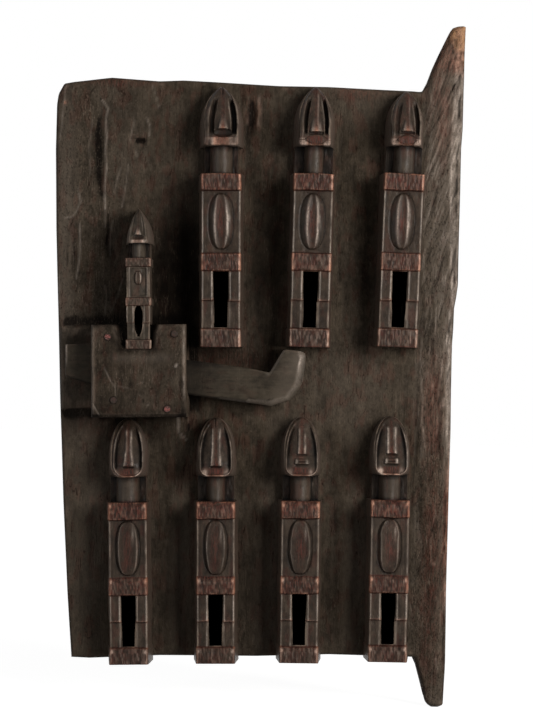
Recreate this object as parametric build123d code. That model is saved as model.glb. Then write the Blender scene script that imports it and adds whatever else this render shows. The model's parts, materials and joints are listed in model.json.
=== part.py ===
from build123d import *
from math import atan2, cos, degrees, radians, sin
from typing import NamedTuple
import os

# Granary door: a hewn plank that turns on two horns of its own wood, seven carved ancestors on its
# front, and a sliding-bolt lock with drop tumblers.
# Millimetres. +Z runs up the pivot axis through both horns, +X points right and +Y to the back, so
# the carved front faces -Y. The origin is on the axis, at the root of the bottom pivot.

# ---- plank ----
PLANK_THICKNESS = 30.0
PANEL_TOP = 675.0                 # height of the panel's top edge
PANEL_TOP_LEFT = -443.5           # left edge, at the top, half way and at the bottom
PANEL_MIDDLE_LEFT = -431.5
PANEL_BOTTOM_LEFT = -405.0
PANEL_CORNER_RADIUS = 20.0        # worn top-left corner
BOTTOM_EDGE_LEFT = 31.5           # height of the panel's bottom edge, from left to right
BOTTOM_EDGE_MIDDLE = 40.5
BOTTOM_EDGE_RIGHT = 45.0
STILE_EDGE_TOP = 9.6              # right edge, beyond the pivot axis
STILE_EDGE_BOTTOM = 10.6
HOLLOW_LOW = 215.0                # worn hollow in the right edge
HOLLOW_HIGH = 475.0
HOLLOW_DEPTH = 3.4

# ---- horns and pivots ----
TOP_PIVOT_RADIUS = 9.0
TOP_PIVOT_LENGTH = 13.5
TOP_PIVOT_ROOT = 736.0            # height where the round end of the top horn starts
TOP_HORN_FOOT = -36.0             # where the horn's sloping side meets the panel's top edge
TOP_HORN_SHOULDER = -11.5         # the same side, at the pivot's root
TOP_HORN_TAPER_START = 690.0      # the horn thins towards the pivot from here
BOTTOM_PIVOT_RADIUS = 10.0
BOTTOM_PIVOT_LENGTH = 15.0
BOTTOM_PIVOT_ROOT = 4.0
BOTTOM_HORN_FOOT = -26.0
BOTTOM_HORN_SHOULDER = -13.5
BOTTOM_HORN_TAPER_START = 31.0
HORN_END_WALL = 1.6               # wood that stands round a pivot's root, front and back
PIVOT_CHAMFER = 2.5

# ---- ancestors ----


class Carving(NamedTuple):
    """Sizes of one carved ancestor, from the feet up, then across and from its seat to its front."""

    feet: float
    calves: float
    thighs: float
    hips: float
    torso: float
    shoulders: float
    neck: float
    head: float
    width: float
    flare: float
    slot_width: float
    belly_width: float
    belly_crown: float
    neck_width: float
    head_width: float
    face_width: float
    cheek_height: float
    mouth_height: float
    depth: float
    neck_setback: float
    nape_depth: float
    crest_depth: float
    relief: float
    calf_relief: float
    nose_width: float
    nose_length: float
    eye_depth: float
    hood_rim: float
    mouth_width: float
    mouth_slot: float


TOP_ANCESTOR = Carving(
    feet=20.0, calves=30.5, thighs=33.0, hips=19.2, torso=68.6, shoulders=18.7, neck=29.6, head=67.0,
    width=44.0, flare=3.5, slot_width=16.5, belly_width=26.0, belly_crown=15.0, neck_width=25.0,
    head_width=47.0, face_width=32.0, cheek_height=24.0, mouth_height=15.0,
    depth=42.0, neck_setback=9.0, nape_depth=16.0, crest_depth=16.0, relief=5.0, calf_relief=2.0,
    nose_width=6.5, nose_length=40.0, eye_depth=4.0, hood_rim=3.0, mouth_width=14.0, mouth_slot=3.5)
BOTTOM_ANCESTOR = TOP_ANCESTOR._replace(
    feet=17.6, calves=28.2, thighs=30.0, hips=18.6, torso=63.7, neck=27.4, head=64.0,
    width=42.5, slot_width=15.5, belly_width=27.0, head_width=43.5, face_width=34.0,
    cheek_height=30.0)
LOCK_ANCESTOR = Carving(
    feet=11.0, calves=17.0, thighs=19.0, hips=9.0, torso=33.5, shoulders=9.5, neck=16.0, head=39.0,
    width=28.0, flare=0.0, slot_width=9.4, belly_width=13.0, belly_crown=7.5, neck_width=16.4,
    head_width=29.6, face_width=19.0, cheek_height=8.0, mouth_height=7.0,
    depth=52.0, neck_setback=5.0, nape_depth=26.0, crest_depth=27.0, relief=2.5, calf_relief=1.2,
    nose_width=4.0, nose_length=22.0, eye_depth=2.4, hood_rim=2.0, mouth_width=8.0, mouth_slot=2.0)


class Stand(NamedTuple):
    """Where an ancestor stands: the middle of its feet, and its lean in degrees about +Y."""

    x: float
    z: float
    lean: float


TOP_LEFT = Stand(x=-250.8, z=381.7, lean=-1.9)
TOP_MIDDLE = Stand(x=-154.3, z=385.1, lean=-0.4)
TOP_RIGHT = Stand(x=-57.8, z=388.5, lean=0.4)
BOTTOM_LEFT = Stand(x=-338.9, z=30.9, lean=-2.6)
BOTTOM_MIDDLE_LEFT = Stand(x=-244.2, z=35.3, lean=-2.0)
BOTTOM_MIDDLE_RIGHT = Stand(x=-153.3, z=39.1, lean=-1.3)
BOTTOM_RIGHT = Stand(x=-56.4, z=43.6, lean=-0.9)
TOP_ROW = (TOP_LEFT, TOP_MIDDLE, TOP_RIGHT)
BOTTOM_ROW = (BOTTOM_LEFT, BOTTOM_MIDDLE_LEFT, BOTTOM_MIDDLE_RIGHT, BOTTOM_RIGHT)
BELLY_END_GAP = 1.6               # the belly stops this far short of the bars above and below it
BELLY_SETBACK = 0.5               # and its front lies this far behind theirs

# ---- lock ----
LOCK_X = -338.5                   # centre of the lock case, and of the bolt's line
LOCK_Z = 352.5
CASE_TILT = -2.4                  # degrees about +Y; the case's top leans left
CASE_WIDTH = 107.0
CASE_FRONT_WIDTH = 102.5
CASE_HEIGHT = 101.0
CASE_DEPTH = 55.0
CASE_CHEEK_DEPTH = 29.0           # its sides are upright over this depth, then lean in
CASE_BEVEL_HEIGHT = 34.0          # the front leans back over this much below the top
CASE_BEVEL_DEPTH = 7.0
CASE_FOOT_BEVEL = 3.0             # the front leans back by this at the bottom
PAD_RAISE = 5.0
PAD_TOP = 50.0                    # raised pad on the plank, above and below the lock's centre
PAD_BOTTOM = 41.5
PAD_REACH = 130.0                 # runs past the panel's left edge, which trims it

BOLT_SLOPE = 6.0                  # degrees about +Y; the bolt runs down to the right
BOLT_HEIGHT = 38.0
BOLT_THICKNESS = 26.0
BOLT_CLEARANCE = 0.4
HEAD_GAP = 0.3                    # between the head's shoulder and the case, with the bolt drawn
BOLT_THROW = 40.0                 # the foot then stands just short of the first top ancestor
HEAD_HEIGHT = 44.5                # flared head, at the shoulder that stops the bolt
HEAD_END_HEIGHT = 35.0
HEAD_LENGTH = 27.0
HEAD_END_SLANT = 4.5
FOOT_START = 141.0                # upturned foot, along the bolt from the lock's centre
FOOT_TOP_START = 152.5
FOOT_END = 178.5
FOOT_TOP = 46.0                   # above the bolt's centre line
TOE_START = 148.0
TOE_RISE = 26.0
FOOT_BEVEL = 5.0

KEYWAY_HEIGHT = 20.0
KEYWAY_WIDTH = 12.0
KEYWAY_PAST_HOLE = 6.0            # runs this far past the centre of the last tumbler hole
TUMBLER_COUNT = 3
TUMBLER_RADIUS = 3.0
TUMBLER_LENGTH = 20.0
TUMBLER_PITCH = 12.0
TUMBLER_FIRST = -1.0              # along the bolt from the lock's centre
TUMBLER_REST_GAP = 0.3            # a resting tumbler stands this far above the bolt's top
TUMBLER_LIFT = 5.0
TUMBLER_CLEARANCE = 0.3
TUMBLER_CHAMFER = 0.8
BOLT_HOLE_CLEARANCE = 0.8

ANCESTOR_FOOT_HEIGHT = 24.0       # the small ancestor's feet, above the lock's centre
ANCESTOR_FOOT_DEPTH = 22.0        # its foot goes this deep into the notch
RECESS_WIDTH = 47.0               # scooped recess round the foot
RECESS_DEPTH = 10.0
NAIL_SHANK = 3.0
NAIL_BITE = 17.0                  # length of the nail inside the plank
NAIL_HEAD_RADIUS = 4.0
NAIL_HEAD_HEIGHT = 2.4
NAIL_HEAD_CROWN = 1.0
NAIL_SEAT_DEPTH = 1.2             # flat seat under the head, below the case's front
NAIL_SEAT_CLEARANCE = 0.4


class NailPlace(NamedTuple):
    """Corner of the case's front that a nail stands near, and how far in it stands from both edges."""

    side: int                     # -1 is the left edge and 1 the right
    end: int                      # -1 is the bottom edge and 1 the top
    from_side: float
    from_end: float


UPPER_LEFT_NAIL = NailPlace(side=-1, end=1, from_side=19.8, from_end=13.5)
UPPER_RIGHT_NAIL = NailPlace(side=1, end=1, from_side=14.5, from_end=10.5)
LOWER_LEFT_NAIL = NailPlace(side=-1, end=-1, from_side=25.9, from_end=18.8)
LOWER_RIGHT_NAIL = NailPlace(side=1, end=-1, from_side=22.8, from_end=8.7)
NAILS = (UPPER_LEFT_NAIL, UPPER_RIGHT_NAIL, LOWER_LEFT_NAIL, LOWER_RIGHT_NAIL)

# ---- places that follow from the sizes ----
PLANK_FRONT = -PLANK_THICKNESS / 2
PAD_FRONT = PLANK_FRONT - PAD_RAISE
CASE_FRONT = PAD_FRONT - CASE_DEPTH
BOLT_MIDDLE = PAD_FRONT - BOLT_CLEARANCE - BOLT_THICKNESS / 2
BEYOND = 60.0                     # how far a cutting solid runs past what it cuts

CASE_PLACE = Pos(LOCK_X, 0, LOCK_Z) * Rot(0, CASE_TILT, 0)
BOLT_PLACE = Pos(LOCK_X, 0, LOCK_Z) * Rot(0, BOLT_SLOPE, 0)


def box_between(low, high):
    """Box between two opposite corners."""
    size = [b - a for a, b in zip(low, high)]
    return Pos(*low) * Box(*size, align=(Align.MIN, Align.MIN, Align.MIN))


def front_view(face, back, front):
    """Prism of a face drawn in the front view, from depth y = back to y = front."""
    return extrude(Plane.XZ.offset(-back) * face, back - front)


def side_view(points, half_width):
    """Prism of (y, z) points drawn in the side view, half_width to each side of x = 0."""
    face = make_face(Polyline(*points, close=True))
    return extrude(Plane.YZ.offset(-half_width) * face, 2 * half_width)


# ---- plank ----


def stile_edge(height):
    """Right edge of the plank at a height, along a straight line between the pivots' roots."""
    share = (height - BOTTOM_PIVOT_ROOT) / (TOP_PIVOT_ROOT - BOTTOM_PIVOT_ROOT)
    return STILE_EDGE_BOTTOM + share * (STILE_EDGE_TOP - STILE_EDGE_BOTTOM)


def plank_outline():
    """Front view of the panel with the roots of both horns."""
    middle_height = (PANEL_TOP + BOTTOM_EDGE_LEFT) / 2
    hollow_middle = (HOLLOW_LOW + HOLLOW_HIGH) / 2
    bottom_left = (PANEL_BOTTOM_LEFT, BOTTOM_EDGE_LEFT)
    bottom_middle = ((PANEL_BOTTOM_LEFT + BOTTOM_HORN_FOOT) / 2, BOTTOM_EDGE_MIDDLE)
    bottom_right = (BOTTOM_HORN_FOOT, BOTTOM_EDGE_RIGHT)
    hollow_low = (stile_edge(HOLLOW_LOW), HOLLOW_LOW)
    hollow_deep = (stile_edge(hollow_middle) - HOLLOW_DEPTH, hollow_middle)
    hollow_high = (stile_edge(HOLLOW_HIGH), HOLLOW_HIGH)
    top_left = (PANEL_TOP_LEFT, PANEL_TOP)
    edges = [
        ThreePointArc(bottom_left, bottom_middle, bottom_right),
        Polyline(bottom_right, (BOTTOM_HORN_SHOULDER, BOTTOM_PIVOT_ROOT),
                 (STILE_EDGE_BOTTOM, BOTTOM_PIVOT_ROOT), hollow_low),
        ThreePointArc(hollow_low, hollow_deep, hollow_high),
        Polyline(hollow_high, (STILE_EDGE_TOP, TOP_PIVOT_ROOT), (TOP_HORN_SHOULDER, TOP_PIVOT_ROOT),
                 (TOP_HORN_FOOT, PANEL_TOP), top_left),
        ThreePointArc(top_left, (PANEL_MIDDLE_LEFT, middle_height), bottom_left),
    ]
    outline = make_face(edges)
    corner = outline.vertices().sort_by_distance((PANEL_TOP_LEFT, PANEL_TOP, 0))[0]
    return fillet(corner, PANEL_CORNER_RADIUS)


def pivot(radius, length, root, end):
    """Round end of a horn, from its root towards its chamfered end (1 is up and -1 is down)."""
    pin = Pos(0, 0, root + end * length / 2) * Cylinder(radius, length)
    rim = pin.edges().sort_by(Axis.Z)[-1 if end > 0 else 0]
    return chamfer(rim, PIVOT_CHAMFER)


def door_plank(nail_holes):
    """Hewn plank: panel, lock pad and two horns that end in round pivots."""
    outline = plank_outline()
    plank = front_view(outline, -PLANK_FRONT, PLANK_FRONT)
    top_wall = TOP_PIVOT_RADIUS + HORN_END_WALL
    bottom_wall = BOTTOM_PIVOT_RADIUS + HORN_END_WALL
    half = PLANK_THICKNESS / 2
    thickness = side_view(
        [(-half, BOTTOM_HORN_TAPER_START), (-bottom_wall, BOTTOM_PIVOT_ROOT),
         (bottom_wall, BOTTOM_PIVOT_ROOT), (half, BOTTOM_HORN_TAPER_START),
         (half, TOP_HORN_TAPER_START), (top_wall, TOP_PIVOT_ROOT),
         (-top_wall, TOP_PIVOT_ROOT), (-half, TOP_HORN_TAPER_START)],
        -PANEL_TOP_LEFT + BEYOND)
    plank &= thickness
    pad = front_view(outline, PLANK_FRONT, PAD_FRONT) & (CASE_PLACE * box_between(
        (-PAD_REACH, CASE_FRONT, -PAD_BOTTOM), (CASE_WIDTH / 2, 0, PAD_TOP)))
    plank += pad
    plank += pivot(TOP_PIVOT_RADIUS, TOP_PIVOT_LENGTH, TOP_PIVOT_ROOT, 1)
    plank += pivot(BOTTOM_PIVOT_RADIUS, BOTTOM_PIVOT_LENGTH, BOTTOM_PIVOT_ROOT, -1)
    return plank - nail_holes


# ---- ancestors ----


def pointed_arch(width, cheek_height, height):
    """Front view of a hood: upright cheeks, then two arcs that meet at the crest."""
    half = width / 2
    rise = height - cheek_height
    radius = (half ** 2 + rise ** 2) / (2 * half)
    sweep = atan2(rise, radius - half)
    shoulder = radius * cos(sweep / 2) - (radius - half)
    quarter = cheek_height + radius * sin(sweep / 2)
    return make_face([
        Polyline((-half, cheek_height), (-half, 0), (half, 0), (half, cheek_height)),
        ThreePointArc((half, cheek_height), (shoulder, quarter), (0, height)),
        ThreePointArc((0, height), (-shoulder, quarter), (-half, cheek_height)),
    ])


def ancestor_head(c):
    """Hood with a sloping face, a long nose between two eye hollows, and a mouth slot."""
    back = Plane.XZ * pointed_arch(c.head_width, c.cheek_height, c.head)
    front = Plane.XZ.offset(c.depth) * pointed_arch(c.face_width, c.cheek_height, c.head)
    head = loft([back, front], ruled=True)
    head &= side_view(
        [(0, 0), (-c.depth, 0), (-c.depth, c.mouth_height), (-c.crest_depth, c.head), (0, c.head)],
        c.head_width)
    slope = degrees(atan2(c.depth - c.crest_depth, c.head - c.mouth_height))
    face_plane = Plane(Location((0, -c.depth, c.mouth_height), (90 - slope, 0, 0)))
    nose = c.nose_width / 2
    cheek = c.face_width / 2 - c.hood_rim
    temple = (cheek - c.hood_rim / 2, c.nose_length / 2)
    hollow = make_face([
        Polyline((nose, c.nose_length), (nose, 0), (cheek, 0)),
        ThreePointArc((cheek, 0), temple, (nose, c.nose_length)),
    ])
    hollows = extrude(face_plane * (hollow + mirror(hollow, Plane.YZ)), c.eye_depth, both=True)
    mouth_slot = Pos(0, -c.depth, c.mouth_height / 2) * Box(c.mouth_width, 2 * c.eye_depth, c.mouth_slot)
    return head - hollows - mouth_slot


def ancestor_belly(c, bottom):
    """Long oval belly, rounded across, that comes forward to the level of the bars."""
    middle = bottom + c.torso / 2
    front = BELLY_SETBACK - c.depth
    oval = Pos(0, middle) * Ellipse(c.belly_width / 2, c.torso / 2 - BELLY_END_GAP)
    crown = Pos(0, c.belly_crown + front, middle) * Cylinder(c.belly_crown, c.torso)
    return front_view(oval, c.relief - c.depth, front) & crown


def ancestor(c):
    """Ancestor block with its back on y = 0: feet, hip and shoulder bars stand in front of the rest."""
    knee = c.feet + c.calves
    leg_top = knee + c.thighs
    hip_top = leg_top + c.hips
    torso_top = hip_top + c.torso
    shoulder_top = torso_top + c.shoulders
    chin = shoulder_top + c.neck
    half = c.width / 2
    section = make_face(Polyline(
        (-half - c.flare, 0), (half + c.flare, 0), (half, -c.depth), (-half, -c.depth), close=True))
    block = extrude(section, chin)
    side = half + c.flare + BEYOND
    relief_back = c.relief - c.depth
    slot = c.slot_width / 2
    front = -c.depth - BEYOND
    block -= box_between((-side, front, c.feet), (side, relief_back, leg_top))
    block -= box_between((-side, front, c.feet), (side, relief_back + c.calf_relief, knee))
    block -= box_between((-side, front, hip_top), (side, relief_back, torso_top))
    block -= box_between((-side, front, shoulder_top), (side, -c.nape_depth, chin))
    block -= box_between((-slot, front, c.feet + c.calf_relief), (slot, BEYOND, leg_top))
    block += ancestor_belly(c, hip_top)
    neck_radius = c.neck_width / 2
    neck_middle = neck_radius + c.neck_setback - c.depth
    block += Pos(0, neck_middle, shoulder_top + c.neck / 2) * Cylinder(neck_radius, c.neck)
    block += Pos(0, 0, chin) * ancestor_head(c)
    return block


def placed_ancestor(c, stand):
    """Ancestor seated on the plank's front at its stand."""
    return Pos(stand.x, PLANK_FRONT, stand.z) * Rot(0, stand.lean, 0) * ancestor(c)


def lock_figure():
    """Small ancestor of the lock: it stands on the case and its foot reaches down into the notch."""
    figure = Pos(0, PAD_FRONT, ANCESTOR_FOOT_HEIGHT) * ancestor(LOCK_ANCESTOR)
    half = LOCK_ANCESTOR.width
    foot_back = figure_front() + ANCESTOR_FOOT_DEPTH
    figure -= box_between((-half, foot_back, -BEYOND), (half, BEYOND, CASE_HEIGHT / 2))
    return CASE_PLACE * figure


def figure_front():
    """Depth of the front of the lock's ancestor."""
    return PAD_FRONT - LOCK_ANCESTOR.depth


# ---- lock ----


def case_front(height):
    """Depth of the case's front at a height above its centre, along its two slopes."""
    bevel_start = CASE_HEIGHT / 2 - CASE_BEVEL_HEIGHT
    if height > bevel_start:
        return CASE_FRONT + CASE_BEVEL_DEPTH * (height - bevel_start) / CASE_BEVEL_HEIGHT
    share = (bevel_start - height) / (bevel_start + CASE_HEIGHT / 2)
    return CASE_FRONT + CASE_FOOT_BEVEL * share


def nail_middles():
    """Middle (x, z) of each nail, from the case's centre."""
    half_width, half_height = CASE_WIDTH / 2, CASE_HEIGHT / 2
    return [(nail.side * (half_width - nail.from_side), nail.end * (half_height - nail.from_end))
            for nail in NAILS]


def nail_seat(height):
    """Depth of the flat seat under a nail's head."""
    return case_front(height) + NAIL_SEAT_DEPTH


def nail_shank(x, z):
    """Square shank of a nail, from its seat in the case's front into the plank."""
    half = NAIL_SHANK / 2
    return box_between((x - half, nail_seat(z), z - half), (x + half, PLANK_FRONT + NAIL_BITE, z + half))


def case_nail(x, z):
    """Forged nail with a square shank and a round, slightly crowned head."""
    head = Cylinder(NAIL_HEAD_RADIUS, NAIL_HEAD_HEIGHT, align=(Align.CENTER, Align.CENTER, Align.MIN))
    head = chamfer(head.edges().sort_by(Axis.Z)[-1], NAIL_HEAD_CROWN)
    head = Pos(x, nail_seat(z), z) * Rot(90, 0, 0) * head
    return CASE_PLACE * (nail_shank(x, z) + head)


def all_nail_shanks():
    """Every nail's shank in place, for the holes in the case and the plank."""
    return [CASE_PLACE * nail_shank(x, z) for x, z in nail_middles()]


def tumbler_places():
    """Where the tumblers stand, along the bolt from the lock's centre."""
    return [TUMBLER_FIRST + TUMBLER_PITCH * index for index in range(TUMBLER_COUNT)]


def lock_case():
    """Case block with a channel for the bolt across its back and blind bores for the tumblers."""
    half, half_front, half_height = CASE_WIDTH / 2, CASE_FRONT_WIDTH / 2, CASE_HEIGHT / 2
    cheek = PAD_FRONT - CASE_CHEEK_DEPTH
    section = make_face(Polyline(
        (-half, PAD_FRONT), (half, PAD_FRONT), (half, cheek), (half_front, CASE_FRONT),
        (-half_front, CASE_FRONT), (-half, cheek), close=True))
    block = Pos(0, 0, -half_height) * extrude(section, CASE_HEIGHT)
    bevel_start = half_height - CASE_BEVEL_HEIGHT
    block &= side_view(
        [(PAD_FRONT, -half_height), (case_front(-half_height), -half_height), (CASE_FRONT, bevel_start),
         (case_front(half_height), half_height), (PAD_FRONT, half_height)], CASE_WIDTH)
    block -= box_between(
        (-RECESS_WIDTH / 2, CASE_FRONT - BEYOND, ANCESTOR_FOOT_HEIGHT),
        (RECESS_WIDTH / 2, CASE_FRONT + RECESS_DEPTH, half_height + BEYOND))
    notch = LOCK_ANCESTOR.width / 2
    block -= box_between(
        (-notch, CASE_FRONT - BEYOND, ANCESTOR_FOOT_HEIGHT),
        (notch, figure_front() + ANCESTOR_FOOT_DEPTH, half_height + BEYOND))
    for x, z in nail_middles():
        seat = Cylinder(NAIL_HEAD_RADIUS + NAIL_SEAT_CLEARANCE, BEYOND,
                        align=(Align.CENTER, Align.CENTER, Align.MIN))
        block -= Pos(x, nail_seat(z), z) * Rot(90, 0, 0) * seat
        block -= nail_shank(x, z)
    block = CASE_PLACE * block
    channel_half = BOLT_HEIGHT / 2 + BOLT_CLEARANCE
    channel_front = BOLT_MIDDLE - BOLT_THICKNESS / 2 - BOLT_CLEARANCE
    block -= BOLT_PLACE * box_between(
        (-CASE_WIDTH, channel_front, -channel_half), (CASE_WIDTH, PAD_FRONT + BEYOND, channel_half))
    bore_top = BOLT_HEIGHT / 2 + TUMBLER_REST_GAP + TUMBLER_LENGTH + TUMBLER_LIFT + TUMBLER_CLEARANCE
    for place in tumbler_places():
        bore = Cylinder(TUMBLER_RADIUS + TUMBLER_CLEARANCE, bore_top,
                        align=(Align.CENTER, Align.CENTER, Align.MIN))
        block -= BOLT_PLACE * Pos(place, BOLT_MIDDLE, 0) * bore
    return block


def shoulder_place(height):
    """Where the bolt's head meets the case's left side, along the bolt, at a height across it."""
    turn = radians(BOLT_SLOPE - CASE_TILT)
    side = CASE_WIDTH / 2 + HEAD_GAP
    return -(side + height * sin(turn)) / cos(turn)


def lock_bolt():
    """Sliding bolt: flared head, straight body and upturned foot, with keyway and tumbler holes."""
    body, head, head_end = BOLT_HEIGHT / 2, HEAD_HEIGHT / 2, HEAD_END_HEIGHT / 2
    end = shoulder_place(0) - HEAD_LENGTH
    outline = make_face(Polyline(
        (end, head_end), (end + HEAD_END_SLANT, -head_end),
        (shoulder_place(-head), -head), (shoulder_place(-body), -body),
        (TOE_START, -body), (FOOT_END, TOE_RISE - body), (FOOT_END, FOOT_TOP),
        (FOOT_TOP_START, FOOT_TOP), (FOOT_START, body),
        (shoulder_place(body), body), (shoulder_place(head), head), close=True))
    back = BOLT_MIDDLE + BOLT_THICKNESS / 2
    bolt = front_view(outline, back, back - BOLT_THICKNESS)
    front_edges = bolt.faces().sort_by(Axis.Y)[0].edges()
    foot_edges = front_edges.filter_by(lambda edge: edge.center().X > TOE_START)
    bolt = chamfer(foot_edges.filter_by(lambda edge: edge.center().Z < FOOT_TOP - FOOT_BEVEL), FOOT_BEVEL)
    holes = [place + BOLT_THROW for place in tumbler_places()]
    keyway_end = min(holes) - KEYWAY_PAST_HOLE
    bolt -= box_between(
        (keyway_end, BOLT_MIDDLE - KEYWAY_WIDTH / 2, -KEYWAY_HEIGHT / 2),
        (FOOT_END + BEYOND, BOLT_MIDDLE + KEYWAY_WIDTH / 2, KEYWAY_HEIGHT / 2))
    for place in holes:
        hole = Cylinder(TUMBLER_RADIUS + BOLT_HOLE_CLEARANCE, BOLT_HEIGHT,
                        align=(Align.CENTER, Align.CENTER, Align.MIN))
        bolt -= Pos(place, BOLT_MIDDLE, 0) * hole
    return BOLT_PLACE * bolt


def tumbler(place):
    """Iron drop pin, resting just above the bolt's top."""
    pin = Cylinder(TUMBLER_RADIUS, TUMBLER_LENGTH, align=(Align.CENTER, Align.CENTER, Align.MIN))
    pin = chamfer(pin.edges().filter_by(GeomType.CIRCLE), TUMBLER_CHAMFER)
    return BOLT_PLACE * Pos(place, BOLT_MIDDLE, BOLT_HEIGHT / 2 + TUMBLER_REST_GAP) * pin


def main():
    """Make every piece and write it to parts/NAME.step."""
    pieces = {"door_plank": door_plank(all_nail_shanks())}
    for number, stand in enumerate(TOP_ROW, 1):
        pieces[f"ancestor_top_{number}"] = placed_ancestor(TOP_ANCESTOR, stand)
    for number, stand in enumerate(BOTTOM_ROW, 1):
        pieces[f"ancestor_bottom_{number}"] = placed_ancestor(BOTTOM_ANCESTOR, stand)
    pieces["lock_case"] = lock_case()
    pieces["lock_figure"] = lock_figure()
    pieces["lock_bolt"] = lock_bolt()
    for number, place in enumerate(tumbler_places(), 1):
        pieces[f"tumbler_{number}"] = tumbler(place)
    for number, (x, z) in enumerate(nail_middles(), 1):
        pieces[f"case_nail_{number}"] = case_nail(x, z)
    os.makedirs("parts", exist_ok=True)
    for name, piece in pieces.items():
        export_step(piece, f"parts/{name}.step")


main()
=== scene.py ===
"""Looks of a carved granary door: hewn plank, seven ancestors, lock case with its small ancestor, bolt.

Every carved piece is a grid surface worked out with numpy in millimetres in the door's frame: x to the
hinge side, y to the back and z up. A piece's depth is how far its front stands before its seat.
"""

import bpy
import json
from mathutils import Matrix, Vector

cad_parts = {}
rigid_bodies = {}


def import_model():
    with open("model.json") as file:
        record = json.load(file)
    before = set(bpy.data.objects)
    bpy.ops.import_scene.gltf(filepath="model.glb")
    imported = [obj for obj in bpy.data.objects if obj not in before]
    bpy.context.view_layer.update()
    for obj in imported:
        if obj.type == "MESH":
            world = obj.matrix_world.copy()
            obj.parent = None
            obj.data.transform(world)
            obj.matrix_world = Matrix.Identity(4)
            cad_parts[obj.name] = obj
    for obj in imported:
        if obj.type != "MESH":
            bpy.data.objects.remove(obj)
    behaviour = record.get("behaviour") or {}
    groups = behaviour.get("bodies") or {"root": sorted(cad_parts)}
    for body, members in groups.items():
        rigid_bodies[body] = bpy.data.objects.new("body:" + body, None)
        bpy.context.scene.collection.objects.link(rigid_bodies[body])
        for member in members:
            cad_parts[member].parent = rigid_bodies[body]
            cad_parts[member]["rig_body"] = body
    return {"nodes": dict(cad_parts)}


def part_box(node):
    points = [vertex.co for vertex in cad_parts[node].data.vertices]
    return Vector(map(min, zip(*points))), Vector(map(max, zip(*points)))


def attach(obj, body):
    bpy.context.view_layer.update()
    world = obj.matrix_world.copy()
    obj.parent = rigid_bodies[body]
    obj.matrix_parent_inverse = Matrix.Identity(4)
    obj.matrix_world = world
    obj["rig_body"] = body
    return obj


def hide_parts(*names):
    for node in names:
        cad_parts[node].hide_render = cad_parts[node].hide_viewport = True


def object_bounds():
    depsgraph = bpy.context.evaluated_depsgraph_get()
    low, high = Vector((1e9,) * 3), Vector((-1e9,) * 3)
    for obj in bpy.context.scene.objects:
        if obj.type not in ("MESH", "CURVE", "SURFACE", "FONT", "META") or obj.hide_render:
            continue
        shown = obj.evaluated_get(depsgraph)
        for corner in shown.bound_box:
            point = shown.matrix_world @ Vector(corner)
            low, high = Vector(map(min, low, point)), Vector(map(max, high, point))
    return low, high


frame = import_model()
CAD_BOX = [list(corner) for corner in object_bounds()]

import json
from math import cos, radians, sin, tan
from typing import NamedTuple

import bpy
import numpy as np
from bpy.props import FloatProperty, FloatVectorProperty, PointerProperty
from mathutils import Matrix, Vector

bl_info = {
    "name": "Carved granary door",
    "version": (1, 0, 0),
    "blender": (4, 5, 0),
    "location": "View3D > Sidebar > Door",
    "description": "Carves and colours a granary door with two rows of ancestors and a wooden lock",
    "category": "Object",
}

MM = 0.001
SHARP_ANGLE = radians(38)


# ---- shaping helpers ----


def ease(low, high, value):
    """Smoothstep: 0 below low, 1 above high, and 3t^2 - 2t^3 between them."""
    t = np.clip((value - low) / (high - low), 0, 1)
    return t * t * (3 - 2 * t)


def band(low, high, soft, value):
    """1 between low and high and 0 outside, with both sides eased over a width of soft."""
    rise = ease(low - soft / 2, low + soft / 2, value)
    return rise * (1 - ease(high - soft / 2, high + soft / 2, value))


def bell(value, width):
    """Gauss bell, exp(-(value / width)^2)."""
    return np.exp(-((value / width) ** 2))


def rounded_off(value):
    """Drop of a quarter circle: 0 where value is 0 and 1 where it is 1."""
    return 1 - np.sqrt(np.clip(1 - np.clip(value, 0, 1) ** 2, 0, 1))


def roll(inset, radius):
    """Drop of an edge rolled off by a quarter circle, at a distance in from the edge."""
    return radius * rounded_off(1 - inset / radius)


def uneven(x, z, step_x, step_z, seed):
    """Smooth random height from -1 to 1: a seeded lattice with the given steps, eased between its
    corners."""
    lattice = np.random.default_rng(seed).uniform(-1, 1, (97, 89))
    i, j = np.broadcast_arrays(x / step_x + 0.37, z / step_z + 0.61)
    i0, j0 = np.floor(i).astype(int), np.floor(j).astype(int)
    u, v = ease(0, 1, i - i0), ease(0, 1, j - j0)
    rows, columns = lattice.shape
    near = lattice[i0 % rows, j0 % columns] * (1 - u) + lattice[(i0 + 1) % rows, j0 % columns] * u
    far = (lattice[i0 % rows, (j0 + 1) % columns] * (1 - u)
           + lattice[(i0 + 1) % rows, (j0 + 1) % columns] * u)
    return near * (1 - v) + far * v


def blurred(field, cells):
    """Mean of a field over a square window of 2 * cells + 1, taken twice, its border carried on."""
    window = 2 * cells + 1
    for axis in (0, 1, 0, 1):
        pad = [(0, 0), (0, 0)]
        pad[axis] = (cells + 1, cells)
        total = np.cumsum(np.pad(field, pad, mode="edge"), axis=axis)
        high = np.take(total, range(window, total.shape[axis]), axis=axis)
        low = np.take(total, range(total.shape[axis] - window), axis=axis)
        field = (high - low) / window
    return field


def wear_of(depth, cells, scale):
    """Proud and sunk shares of a relief: how far it stands before or behind its own blurred mean."""
    offset = (depth - blurred(depth, cells)) / scale
    return np.clip(offset, 0, 1), np.clip(-offset, 0, 1)


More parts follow.
